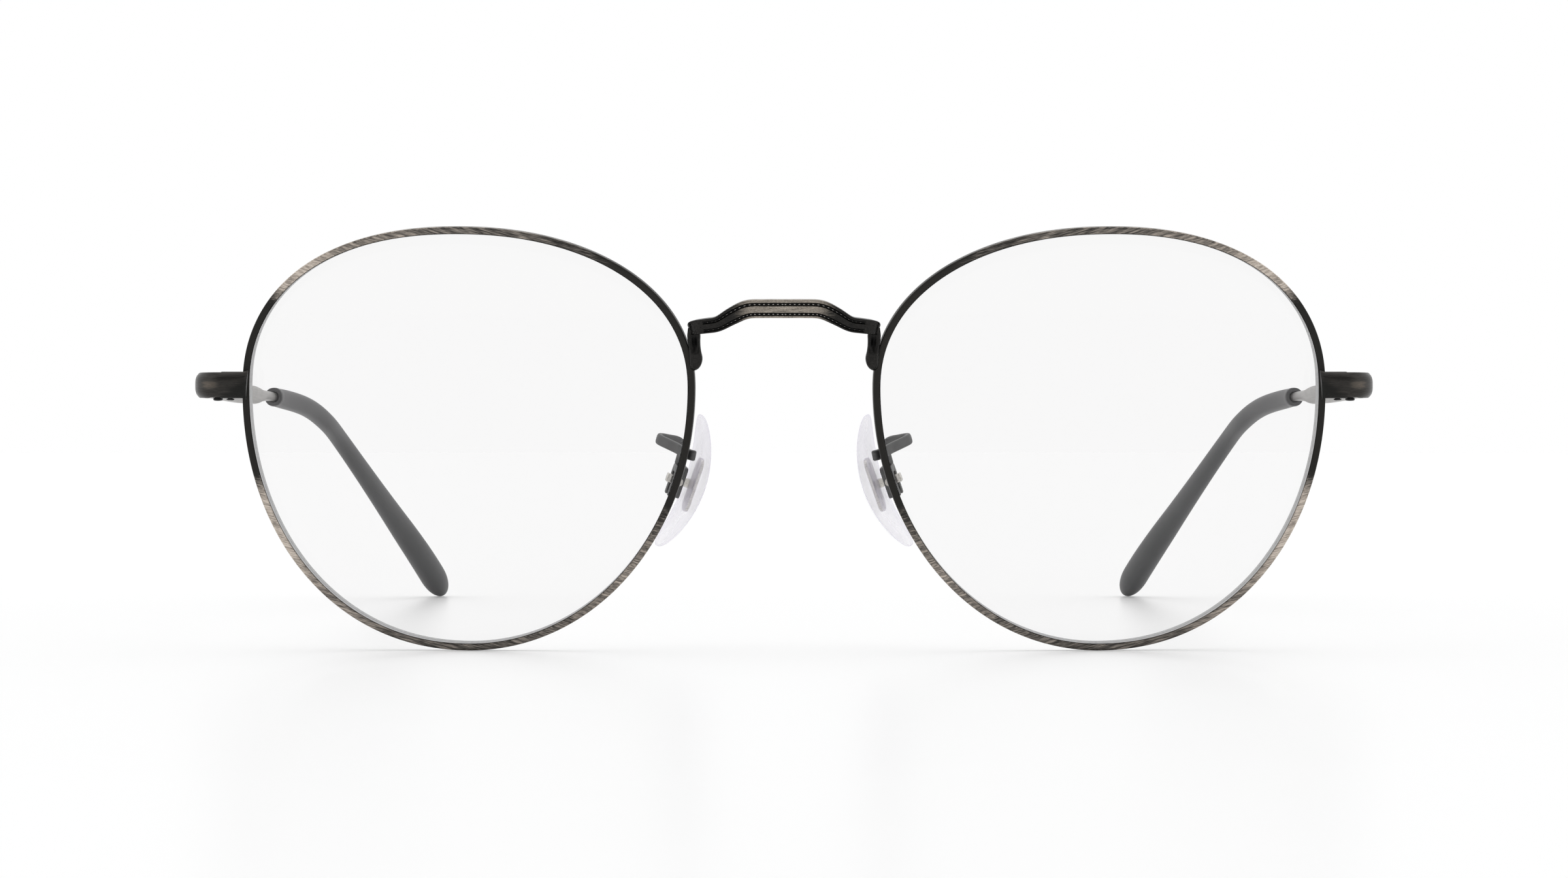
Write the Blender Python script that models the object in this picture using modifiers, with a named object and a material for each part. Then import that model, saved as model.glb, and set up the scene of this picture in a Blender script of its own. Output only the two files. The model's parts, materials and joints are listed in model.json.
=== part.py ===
"""Round wire eyeglasses: a metal frame with 50.5 mm lenses 21 mm apart, 145 mm temples and nose pads.

Units are metres and +Z is up. The front faces -Y and the temples run back along +Y, so the wearer's
right is -X. The glasses stand as they do on a table: on the two rims and the two temple tips.

Each piece of a pair is drawn for the wearer's left, with X as its distance out from the middle plane.
The right half hangs from an empty that mirrors it.
"""

import math

import bmesh
import bpy
from mathutils import Matrix, Vector

MM = 0.001
GAP = 0.05 * MM  # between neighbours that are brazed, screwed or pressed together

# --- Stance -----------------------------------------------------------------------------------------
DATUM_HEIGHT = 24.0 * MM  # the middle of the front above the table
FRONT_OFFSET = -68.69 * MM  # the front along Y, which puts the origin under the middle of the glasses
PANTOSCOPIC_TILT = math.radians(8)  # the foot of the front leans back, towards the cheeks
WRAP = math.radians(4)  # each rim's temporal side is swept back

# --- Eye shape, at the outside of the rim wire -------------------------------------------------------
EYE_CENTRE_X = 35.93 * MM
EYE_CENTRE_Z = 6.02 * MM  # the widest line of the eye, above the datum
EYE_TEMPORAL = 25.36 * MM
EYE_NASAL = 25.98 * MM
EYE_ABOVE = 17.93 * MM
EYE_BELOW = 30.25 * MM
POWER_UPPER_TEMPORAL = 2.22  # 2 is an ellipse, more is squarer
POWER_UPPER_NASAL = 2.13
POWER_LOWER_TEMPORAL = 2.14
POWER_LOWER_NASAL = 2.0
LENS_RADIUS = 130 * MM  # a 4 dioptre base curve
MEAN_EYE_RADIUS = 25 * MM

# --- Rim wire and lens -------------------------------------------------------------------------------
RIM_WIDTH = 0.85 * MM
RIM_DEPTH = 1.6 * MM
RIM_CORNER = 0.14 * MM
GROOVE_HALF = 0.45 * MM
GROOVE_DEPTH = 0.4 * MM
RIM_STEPS = 60
RIM_SLIT = 0.25 * MM
LENS_THICKNESS = 2.0 * MM
LENS_SETBACK = 0.05 * MM  # the lens's front edge behind the rim's front face
LENS_RINGS = (0.4, 0.75)  # shares of the lens's radius

# --- Closing block and endpiece ----------------------------------------------------------------------
TEMPLE_HEIGHT = 6.1 * MM  # of the hinge and temple, above the datum
ENDPIECE_HEIGHT = 2.85 * MM
ENDPIECE_CROWN = 0.5 * MM
ENDPIECE_EDGE = 0.45 * MM  # thickness at the top and bottom edge
ENDPIECE_START_X = 60.8 * MM
ENDPIECE_BEND_X = 63.0 * MM
ENDPIECE_OUTER_X = 67.05 * MM
ENDPIECE_FRONT_Y = -0.35 * MM
ENDPIECE_BEND_Y = 3.95 * MM
ENDPIECE_BEND_STEPS = 8
CROWN_STEPS = 5  # an odd number, so that the middle facet is square to the outside
CROWN_SHARE = 0.98  # of the half height, so that the edge stays blunt
BLOCK_X = (60.6 * MM, 63.6 * MM)  # the rim side is then cut to the wire
BLOCK_Y = (0.66 * MM, 2.55 * MM)
BLOCK_HALF_HEIGHT = 1.5 * MM
BLOCK_CORNER = 0.25 * MM
CLOSING_SCREW_X = 62.55 * MM
CLOSING_SHAFT_RADIUS = 0.3 * MM
CLOSING_HEAD_RADIUS = 0.48 * MM
CLOSING_HEAD_HEIGHT = 0.2 * MM
CLOSING_SLOT_TURN = math.radians(30)

# --- Hinge -------------------------------------------------------------------------------------------
HINGE_X = 65.2 * MM
HINGE_Y = 9.5 * MM
KNUCKLE_RADIUS = 0.85 * MM
KNUCKLE_HALF_HEIGHT = 0.5 * MM  # of the front leaf's knuckle, between the temple leaf's two
LEAF_LENGTH = 5.2 * MM
LEAF_THICKNESS = 0.45 * MM
LEAF_HALF_HEIGHT = 1.3 * MM
HINGE_SHAFT_RADIUS = 0.4 * MM
HINGE_HEAD_RADIUS = 0.62 * MM
HINGE_HEAD_HEIGHT = 0.4 * MM
HINGE_SLOT_TURN = math.radians(-20)
SCREW_CHAMFER = 0.1 * MM
SCREW_SLOT = 0.2 * MM
SLOT_SHARE = 0.55  # of the head's height
ROUND_STEPS = 16

# --- Temple ------------------------------------------------------------------------------------------
# Points along its middle: out from the middle plane, back from the front, up from the datum, in mm.
TEMPLE_LINE = (
    (66.60, 9.55, 6.10),
    (68.50, 32.0, 6.00),
    (69.70, 56.0, 5.85),
    (69.90, 75.0, 5.75),
    (69.25, 87.0, 5.65),
    (66.95, 97.5, 4.55),
    (63.45, 112.5, -0.70),
    (58.50, 127.5, -10.8),
    (51.85, 143.0, -23.60),
)
# Shares of the temple's length, with the width across and the height of the metal there, in mm.
TEMPLE_SECTIONS = (
    (0.0, 0.90, 2.85),
    (0.15, 0.90, 2.75),
    (0.30, 0.85, 2.60),
    (0.42, 0.80, 2.40),
    (0.445, 0.90, 2.10),
    (0.465, 1.30, 1.60),
    (0.485, 1.40, 1.45),
    (0.53, 1.20, 1.20),
    (0.955, 1.10, 1.10),
)
TEMPLE_STATIONS = 40
STRIP_SQUARENESS = 5.0
CORE_SQUARENESS = 2.0
STRIP_END = 0.435
# The plastic tip, in the same way.
TIP_SECTIONS = (
    (0.5315, 2.45, 2.50),
    (0.536, 2.70, 2.75),
    (0.60, 2.70, 2.85),
    (0.75, 2.60, 3.10),
    (0.90, 2.70, 3.60),
    (0.965, 2.80, 3.90),
    (0.985, 2.30, 3.20),
    (0.996, 1.30, 1.85),
)
TIP_STATIONS = 22
BORE_STATIONS = 12
BORE_SPARE = 0.003  # the share of the length by which the bore is deeper than the core
RING_POINTS = 10

# --- Bridge, in the tilted front ---------------------------------------------------------------------
# Half of its line: out, back, up, and the height and the thickness of the bar there, in mm.
BRIDGE_LINE = (
    (0.0, -3.10, 14.95, 2.10, 1.10),
    (2.2, -3.10, 14.95, 2.10, 1.10),
    (4.2, -3.05, 14.85, 2.10, 1.10),
    (5.7, -2.95, 14.30, 2.05, 1.10),
    (7.3, -2.75, 13.40, 2.00, 1.10),
    (8.8, -2.50, 12.95, 1.90, 1.05),
    (9.8, -2.15, 12.70, 1.75, 1.00),
    (10.20, -1.75, 11.95, 1.45, 0.95),
    (10.00, -1.45, 10.90, 1.30, 0.95),
    (9.85, -1.35, 9.60, 1.40, 0.95),
    (9.75, -1.40, 8.20, 1.20, 0.85),
)
BRIDGE_STATIONS = 17
BRIDGE_SQUARENESS = 4.0

# --- Nose pads, in the tilted front ------------------------------------------------------------------
ARM_LINE = (
    (10.95, 0.26, -1.75),
    (11.35, 1.05, -1.60),
    (12.20, 1.80, -1.25),
    (13.35, 2.50, -0.85),
    (14.30, 3.40, -0.50),
    (14.25, 4.40, -0.40),
    (13.20, 5.20, -0.65),
    (11.60, 6.00, -1.10),
    (10.93, 6.70, -1.70),
    (10.97, 7.15, -2.60),
    (11.75, 7.35, -3.95),
)
ARM_HEIGHT = 1.2 * MM
ARM_THICKNESS = 0.65 * MM
ARM_STATIONS = 22
ARM_SQUARENESS = 3.0
PAD_PIVOT = (12.3 * MM, 7.3 * MM, -5.75 * MM)  # the middle of the pad screw
PAD_LEAN = math.radians(19)  # in the front view, the pad's foot leans outwards
PAD_SPLAY = math.radians(13)  # in plan, the pads open towards the face
BOX_THICKNESS = 1.4 * MM
BOX_WIDTH = 2.1 * MM
BOX_TOP = 1.75 * MM  # above the pad screw
BOX_FOOT = 1.95 * MM  # below the pad screw
BOX_CORNER = 0.3 * MM
BOX_SLOT = 1.0 * MM
BOX_SLOT_TOP = 0.85 * MM
PAD_SCREW_RADIUS = 0.22 * MM
PAD_SCREW_HEAD_RADIUS = 0.5 * MM
PAD_SCREW_HEAD_HEIGHT = 0.3 * MM
TAB_WIDTH = 0.8 * MM
TAB_HEIGHT = 0.95 * MM
TAB_REACH = 1.25 * MM  # past the pad screw, outwards
PLATE_OFFSET = 2.0 * MM  # the insert's plate, inwards from the pad screw
PLATE_THICKNESS = 0.4 * MM
PLATE_WIDTH = 3.4 * MM
PLATE_LENGTH = 6.6 * MM
PAD_OFFSET = 2.2 * MM
PAD_BOW = 1.9 * MM  # its middle stands this far inwards of its ends
PAD_THICKNESS = 1.7 * MM
PAD_WIDTH = 7.4 * MM
PAD_LENGTH = 16.0 * MM
PAD_TAPER = 0.15  # the share by which the pad is wider above and narrower below
PAD_SQUARENESS = 2.3  # of its section
PAD_WIDTH_POWER = 0.8  # how quickly its width and its thickness draw in towards the ends
PAD_THICKNESS_POWER = 0.6
PAD_POINTS = 12
PAD_STATIONS = 12

COLOURS = {  # base colour, roughness, metallic
    "gunmetal": ((0.045, 0.045, 0.05), 0.42, 1.0),
    "brushed_gunmetal": ((0.20, 0.185, 0.165), 0.35, 1.0),
    "steel": ((0.62, 0.58, 0.53), 0.3, 1.0),
    "tip_plastic": ((0.085, 0.088, 0.095), 0.5, 0.0),
    "clear_silicone": ((0.88, 0.86, 0.93), 0.2, 0.0),
    "clear_lens": ((0.96, 0.97, 0.97), 0.05, 0.0),
}


# --- Scene ---------------------------------------------------------------------------------------------
def clear_scene():
    for item in list(bpy.data.objects):
        bpy.data.objects.remove(item, do_unlink=True)


def make_collection(name):
    collection = bpy.data.collections.new(name)
    bpy.context.scene.collection.children.link(collection)
    return collection


def make_material(piece, look):
    """A piece's own material, so that it can be changed without changing its neighbours."""
    colour, roughness, metallic = COLOURS[look]
    material = bpy.data.materials.new(f"{piece}_{look}")
    material.use_nodes = True
    shader = material.node_tree.nodes["Principled BSDF"]
    shader.inputs["Base Color"].default_value = (*colour, 1.0)
    shader.inputs["Roughness"].default_value = roughness
    shader.inputs["Metallic"].default_value = metallic
    return material


def add_empty(name, parent=None, location=(0, 0, 0), rotation=(0, 0, 0), scale=(1, 1, 1)):
    empty = bpy.data.objects.new(name, None)
    PIECES.objects.link(empty)
    empty.empty_display_size = 5 * MM
    empty.parent = parent
    empty.location = location
    empty.rotation_euler = rotation
    empty.scale = scale
    return empty


def add_piece(name, mesh, look, parent, location=(0, 0, 0), rotation=(0, 0, 0)):
    piece = bpy.data.objects.new(name, mesh)
    PIECES.objects.link(piece)
    piece.parent = parent
    piece.location = location
    piece.rotation_euler = rotation
    mesh.materials.append(make_material(name, look))
    mesh.shade_smooth()
    mesh.set_sharp_from_angle(angle=math.radians(35))
    return piece


def add_guide(name, data, parent=None, location=(0, 0, 0), rotation=(0, 0, 0)):
    """A cutter, an added shape or a section, which is not a piece of the glasses."""
    guide = bpy.data.objects.new(name, data)
    GUIDES.objects.link(guide)
    guide.parent = parent
    guide.location = location
    guide.rotation_euler = rotation
    guide.hide_render = True
    guide.display_type = "WIRE"
    return guide


def combine(piece, guide, operation):
    modifier = piece.modifiers.new(guide.name, "BOOLEAN")
    modifier.operation = operation
    modifier.solver = "EXACT"
    modifier.object = guide


# --- Shapes --------------------------------------------------------------------------------------------
def mesh_from(name, shape):
    bmesh.ops.recalc_face_normals(shape, faces=shape.faces)
    mesh = bpy.data.meshes.new(name)
    shape.to_mesh(mesh)
    shape.free()
    return mesh


def box(name, low, high, corner=0.0):
    """A box between two corners, with its upright and level edges rounded off by a bevel."""
    shape = bmesh.new()
    bmesh.ops.create_cube(shape, size=1.0)
    low, high = Vector(low), Vector(high)
    size = Matrix.Diagonal((*(high - low), 1.0))
    bmesh.ops.transform(shape, matrix=Matrix.Translation((low + high) / 2) @ size, verts=shape.verts)
    if corner:
        bmesh.ops.bevel(shape, geom=shape.edges, offset=corner, segments=1, affect="EDGES")
    return mesh_from(name, shape)


def cylinder(name, radius, low, high):
    shape = bmesh.new()
    place = Matrix.Translation((0, 0, (low + high) / 2))
    bmesh.ops.create_cone(
        shape,
        cap_ends=True,
        segments=ROUND_STEPS,
        radius1=radius,
        radius2=radius,
        depth=high - low,
        matrix=place,
    )
    return mesh_from(name, shape)


def loft(name, rings, first_tip=None, last_tip=None):
    """A skin through rings with the same number of points, with a flat end or one drawn to a tip."""
    shape = bmesh.new()
    loops = [[shape.verts.new(point) for point in ring] for ring in rings]
    for near, far in zip(loops, loops[1:]):
        for index, corner in enumerate(near):
            after = (index + 1) % len(near)
            shape.faces.new((corner, near[after], far[after], far[index]))
    for loop, tip in ((loops[0], first_tip), (loops[-1], last_tip)):
        if tip is None:
            shape.faces.new(loop)
            continue
        point = shape.verts.new(tip)
        for index, corner in enumerate(loop):
            shape.faces.new((corner, loop[(index + 1) % len(loop)], point))
    return mesh_from(name, shape)


def outline_plate(name, outlines, low, high):
    """A flat outline, with any further outlines as holes, raised from one height to another."""
    flat = bpy.data.curves.new(name, "CURVE")
    flat.dimensions = "2D"
    flat.fill_mode = "BOTH"
    flat.extrude = (high - low) / 2
    for outline in outlines:
        spline = flat.splines.new("POLY")
        spline.points.add(len(outline) - 1)
        for point, (x, y) in zip(spline.points, outline):
            point.co = (x, y, 0, 1)
        spline.use_cyclic_u = True
    mesh = mesh_of_curve(flat)
    mesh.transform(Matrix.Translation((0, 0, (low + high) / 2)))
    return mesh


def mesh_of_curve(curve):
    holder = add_guide(curve.name, curve)
    bpy.context.view_layer.update()
    evaluated = holder.evaluated_get(bpy.context.evaluated_depsgraph_get())
    drawn = bpy.data.meshes.new_from_object(evaluated)
    shape = bmesh.new()
    shape.from_mesh(drawn)
    bmesh.ops.remove_doubles(shape, verts=shape.verts, dist=0.0001 * MM)
    name = curve.name
    bpy.data.objects.remove(holder, do_unlink=True)
    bpy.data.meshes.remove(drawn)
    return mesh_from(name, shape)


def arc(radius, start, end, steps):
    """Points on a circle about the origin, both ends included."""
    angles = [start + (end - start) * step / steps for step in range(steps + 1)]
    return [(radius * math.cos(angle), radius * math.sin(angle)) for angle in angles]


def circle(radius):
    return arc(radius, 0, math.tau, ROUND_STEPS)[:-1]


def turned(name, profile, look, parent, location=(0, 0, 0), rotation=(0, 0, 0)):
    """A piece turned about its own Z axis, from (radius, height) points that run from its top down."""
    mesh = bpy.data.meshes.new(name)
    points = [(radius, 0, height) for radius, height in profile]
    mesh.from_pydata(points, [(index, index + 1) for index in range(len(points) - 1)], [])
    piece = add_piece(name, mesh, look, parent, location, rotation)
    screw = piece.modifiers.new("Turn", "SCREW")
    screw.steps = ROUND_STEPS
    screw.render_steps = ROUND_STEPS
    screw.use_merge_vertices = True
    screw.merge_threshold = 0.0001 * MM
    return piece


def slotted_screw(name, shaft, head, look, parent, location, rotation):
    """A screw whose head is below its origin and whose shaft stands above it, both (radius, length)."""
    shaft_radius, shaft_length = shaft
    head_radius, head_height = head
    chamfer = SCREW_CHAMFER
    profile = (
        (0, shaft_length),
        (shaft_radius - chamfer, shaft_length),
        (shaft_radius, shaft_length - chamfer),
        (shaft_radius, 0),
        (head_radius, 0),
        (head_radius, -head_height + chamfer),
        (head_radius - chamfer, -head_height),
        (0, -head_height),
    )
    piece = turned(name, profile, look, parent, location, rotation)
    reach = 2 * head_radius
    low = (-reach, -SCREW_SLOT / 2, -2 * head_height)
    high = (reach, SCREW_SLOT / 2, (SLOT_SHARE - 1) * head_height)
    slot = add_guide(f"{name}_slot", box(f"{name}_slot", low, high), parent, location, rotation)
    combine(piece, slot, "DIFFERENCE")
    return piece


class Line:
    """A smooth line through points whose further values, such as widths, are carried along it."""

    STEPS = 24  # between neighbouring points

    def __init__(self, points):
        ends = [self.beyond(points[1], points[0]), *points, self.beyond(points[-2], points[-1])]
        self.samples = []
        for four in zip(ends, ends[1:], ends[2:], ends[3:]):
            self.samples += [self.between(four, step / self.STEPS) for step in range(self.STEPS)]
        self.samples.append(tuple(points[-1]))
        self.lengths = [0.0]
        for near, far in zip(self.samples, self.samples[1:]):
            self.lengths.append(self.lengths[-1] + math.dist(near[:3], far[:3]))

    @staticmethod
    def beyond(inner, end):
        return tuple(2 * b - a for a, b in zip(inner, end))

    @staticmethod
    def between(four, share):
        """Catmull-Rom interpolation between the middle two of four points."""
        values = []
        for a, b, c, d in zip(*four):
            square = 2 * a - 5 * b + 4 * c - d
            cube = 3 * b - a - 3 * c + d
            values.append(b + (c - a) / 2 * share + square / 2 * share**2 + cube / 2 * share**3)
        return tuple(values)

    def at(self, share):
        """The values at a share of the line's length."""
        wanted = share * self.lengths[-1]
        index = 1
        while index < len(self.lengths) - 1 and self.lengths[index] < wanted:
            index += 1
        low, high = self.lengths[index - 1], self.lengths[index]
        part = (wanted - low) / (high - low)
        return [a + (b - a) * part for a, b in zip(self.samples[index - 1], self.samples[index])]

    def point(self, share):
        return Vector(self.at(share)[:3])

    def direction(self, share):
        step = 0.002
        return (self.point(min(1, share + step)) - self.point(max(0, share - step))).normalized()


def read_table(table, share):
    """The values of a table's row at a share, taken in a straight line between its rows."""
    for near, far in zip(table, table[1:]):
        if share <= far[0]:
            part = max(0.0, (share - near[0]) / (far[0] - near[0]))
            return [a + (b - a) * part for a, b in zip(near[1:], far[1:])]
    return list(table[-1][1:])


def rounded_section(width, height, squareness, count):
    """A closed outline from an ellipse, at 2, to a rounded rectangle, from about 4."""
    points = []
    for index in range(count):
        angle = math.tau * (index + 0.5) / count
        across, up = math.cos(angle), math.sin(angle)
        reach = (abs(across) ** squareness + abs(up) ** squareness) ** (-1 / squareness)
        points.append((width / 2 * reach * across, height / 2 * reach * up))
    return points


def ring_along(line, share, up, section):
    """A section set square to a line. Returns the ring and the section's own up direction there."""
    forward = line.direction(share)
    up = (up - up.dot(forward) * forward).normalized()
    side = forward.cross(up)
    centre = line.point(share)
    return [centre + side * across + up * height for across, height in section], up


# --- Front ---------------------------------------------------------------------------------------------
def eye_radius(angle):
    """The rim's outer radius at an angle from the temporal side, upwards, seen from the front."""
    across, up = math.cos(angle), math.sin(angle)
    half_width = EYE_TEMPORAL if across > 0 else EYE_NASAL
    half_height = EYE_ABOVE if up > 0 else EYE_BELOW
    if up > 0:
        power = POWER_UPPER_TEMPORAL if across > 0 else POWER_UPPER_NASAL
    else:
        power = POWER_LOWER_TEMPORAL if across > 0 else POWER_LOWER_NASAL
    return (abs(across / half_width) ** power + abs(up / half_height) ** power) ** (-1 / power)


def lens_sag(across, up):
    """How far back the base curve lies at a point of the eye, from where it is at the mean radius."""
    middle = (EYE_ABOVE - EYE_BELOW) / 2
    return (across**2 + (up - middle) ** 2 - MEAN_EYE_RADIUS**2) / (2 * LENS_RADIUS)


def slit_angle():
    """The angle at which the closing blocks' slit meets the rim."""
    tilt = PANTOSCOPIC_TILT
    rise = TEMPLE_HEIGHT * math.cos(tilt) - BLOCK_Y[0] * math.sin(tilt) - EYE_CENTRE_Z
    return math.atan2(rise, EYE_TEMPORAL)


def outline_point(angle):
    return eye_radius(angle) * Vector((math.cos(angle), 0, math.sin(angle)))


def eye_point(angle, inset, depth, share=1.0):
    """A point at a share of the way out to an inset from the rim's outside, behind the rim's front face."""
    step = math.radians(0.5)
    along = (outline_point(angle + step) - outline_point(angle - step)).normalized()
    inwards = Vector((-along.z, 0, along.x))
    outer = outline_point(angle)
    back = Vector((0, lens_sag(outer.x * share, outer.z * share) + depth, 0))
    return (outer + inwards * inset) * share + back


def rim_sweep(name, section):
    """A section, as (outwards, forwards) points, carried round the eye from slit to slit."""
    outline = bpy.data.curves.new(f"{name}_section", "CURVE")
    outline.dimensions = "2D"
    drawn = outline.splines.new("POLY")
    drawn.points.add(len(section) - 1)
    for point, (outwards, forwards) in zip(drawn.points, section):
        point.co = (outwards, forwards, 0, 1)
    drawn.use_cyclic_u = True
    line = bpy.data.curves.new(name, "CURVE")
    line.dimensions = "3D"
    line.twist_mode = "Z_UP"
    line.bevel_mode = "OBJECT"
    line.bevel_object = add_guide(f"{name}_section", outline)
    line.use_fill_caps = True
    spline = line.splines.new("POLY")
    spline.points.add(RIM_STEPS)
    start = slit_angle() + RIM_SLIT / 2 / EYE_TEMPORAL
    turn = math.tau - RIM_SLIT / EYE_TEMPORAL
    for index, point in enumerate(spline.points):
        place = eye_point(start + turn * index / RIM_STEPS, 0, RIM_DEPTH / 2)
        point.co = (place.x, place.z, -place.y, 1)
    mesh = mesh_of_curve(line)
    mesh.transform(Matrix.Rotation(math.radians(90), 4, "X"))
    return mesh


def rim_mesh(name):
    """The grooved wire: a flat face with eased corners, and a V groove on the inside for the lens."""
    half, width, ease = RIM_DEPTH / 2, RIM_WIDTH, RIM_CORNER
    section = (
        (0, -half + ease),
        (0, half - ease),
        (-ease, half),
        (-width, half),
        (-width, GROOVE_HALF),
        (-width + GROOVE_DEPTH, 0),
        (-width, -GROOVE_HALF),
        (-width, -half),
        (-ease, -half),
    )
    return rim_sweep(name, section)


def rim_clearance_mesh(name):
    """The wire's space with the usual gap round it, for cutting the pieces brazed to it."""
    half = RIM_DEPTH / 2 + GAP
    return rim_sweep(name, ((GAP, -half), (GAP, half), (-RIM_WIDTH, half), (-RIM_WIDTH, -half)))


def lens_mesh(name):
    """A lens with both faces on the base curve and a V bevel that sits in the rim's groove."""
    edge_inset = RIM_WIDTH + GAP
    apex_inset = RIM_WIDTH - GROOVE_DEPTH + 1.5 * GAP
    middle = RIM_DEPTH / 2
    back = LENS_SETBACK + LENS_THICKNESS
    bevel = GROOVE_HALF - GAP
    edge = (
        (edge_inset, LENS_SETBACK),
        (edge_inset, middle - bevel),
        (apex_inset, middle),
        (edge_inset, middle + bevel),
        (edge_inset, back),
    )
    sections = [(edge_inset, LENS_SETBACK, share) for share in LENS_RINGS]
    sections += [(inset, depth, 1.0) for inset, depth in edge]
    sections += [(edge_inset, back, share) for share in reversed(LENS_RINGS)]
    angles = [slit_angle() + math.tau * step / RIM_STEPS for step in range(RIM_STEPS)]
    rings = [[eye_point(angle, *section) for angle in angles] for section in sections]
    front_middle = (0, lens_sag(0, 0) + LENS_SETBACK, 0)
    back_middle = (0, lens_sag(0, 0) + back, 0)
    return loft(name, rings, front_middle, back_middle)


def bridge_mesh(name):
    half = Line(BRIDGE_LINE)
    shares = [index / (BRIDGE_STATIONS - 1) for index in range(BRIDGE_STATIONS)]
    left_rings = []
    depth = Vector((0, 1, 0))
    for share in shares:
        height, thickness = half.at(share)[3:]
        section = rounded_section(height, thickness, BRIDGE_SQUARENESS, RING_POINTS)
        ring, depth = ring_along(half, share, depth, section)
        left_rings.append([point * MM for point in ring])
    right_rings = [[Vector((-p.x, p.y, p.z)) for p in ring] for ring in left_rings]
    return loft(name, right_rings[:0:-1] + left_rings)


# --- Closing block, endpiece and hinge -----------------------------------------------------------------
def endpiece_mesh(name):
    """A crowned bar along the front that bends back to the hinge."""
    stations = [(Vector((ENDPIECE_START_X, ENDPIECE_FRONT_Y)), Vector((0, -1)))]
    reach_x = ENDPIECE_OUTER_X - ENDPIECE_BEND_X
    reach_y = ENDPIECE_BEND_Y - ENDPIECE_FRONT_Y
    for step in range(ENDPIECE_BEND_STEPS + 1):
        angle = math.radians(90) * step / ENDPIECE_BEND_STEPS
        across, back = math.sin(angle), math.cos(angle)
        ridge = Vector((ENDPIECE_BEND_X + reach_x * across, ENDPIECE_BEND_Y - reach_y * back))
        stations.append((ridge, Vector((across / reach_x, -back / reach_y)).normalized()))
    stations.append((Vector((ENDPIECE_OUTER_X, HINGE_Y - GAP)), Vector((1, 0))))
    rings = []
    for ridge, outwards in stations:
        ring = []
        for step in range(CROWN_STEPS + 1):
            height = (step / CROWN_STEPS * 2 - 1) * CROWN_SHARE
            fall = ENDPIECE_CROWN * (1 - math.sqrt(1 - height**4))
            place = ridge - outwards * fall
            ring.append(Vector((place.x, place.y, height * ENDPIECE_HEIGHT / 2)))
        inner = ridge - outwards * (ENDPIECE_CROWN + ENDPIECE_EDGE)
        ring.append(Vector((inner.x, inner.y, ENDPIECE_HEIGHT / 2)))
        ring.append(Vector((inner.x, inner.y, -ENDPIECE_HEIGHT / 2)))
        rings.append(ring)
    return loft(name, rings)


def add_closing_blocks(side, level, wire_cutter):
    """Two blocks on the ends of the split rim, and the screw that draws them together round the lens."""
    screw_y = sum(BLOCK_Y) / 2
    for place, low, high in (
        ("upper", RIM_SLIT / 2, BLOCK_HALF_HEIGHT),
        ("lower", -BLOCK_HALF_HEIGHT, -RIM_SLIT / 2),
    ):
        name = f"closing_block_{place}_{side}"
        corners = ((BLOCK_X[0], BLOCK_Y[0], low), (BLOCK_X[1], BLOCK_Y[1], high))
        block = add_piece(name, box(name, *corners, BLOCK_CORNER), "gunmetal", level)
        combine(block, wire_cutter, "DIFFERENCE")
        bore = cylinder(f"{name}_bore", CLOSING_SHAFT_RADIUS + GAP, low - BLOCK_CORNER, high + BLOCK_CORNER)
        combine(block, add_guide(f"{name}_bore", bore, level, (CLOSING_SCREW_X, screw_y, 0)), "DIFFERENCE")
    foot = -BLOCK_HALF_HEIGHT - GAP
    slotted_screw(
        f"closing_screw_{side}",
        (CLOSING_SHAFT_RADIUS, 2 * BLOCK_HALF_HEIGHT),
        (CLOSING_HEAD_RADIUS, CLOSING_HEAD_HEIGHT),
        "gunmetal",
        level,
        (CLOSING_SCREW_X, screw_y, foot),
        (0, 0, CLOSING_SLOT_TURN),
    )


def leaf_mesh(name):
    """A hinge leaf with its knuckle about the origin: its plate runs along +Y, flush with the outer side."""
    inner = KNUCKLE_RADIUS - LEAF_THICKNESS
    meeting = math.acos(inner / KNUCKLE_RADIUS)
    outline = [(KNUCKLE_RADIUS, LEAF_LENGTH), (inner, LEAF_LENGTH)]
    outline += arc(KNUCKLE_RADIUS, meeting, math.tau, ROUND_STEPS)
    holes = circle(HINGE_SHAFT_RADIUS + GAP)
    return outline_plate(name, (outline, holes), -LEAF_HALF_HEIGHT, LEAF_HALF_HEIGHT)


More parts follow.
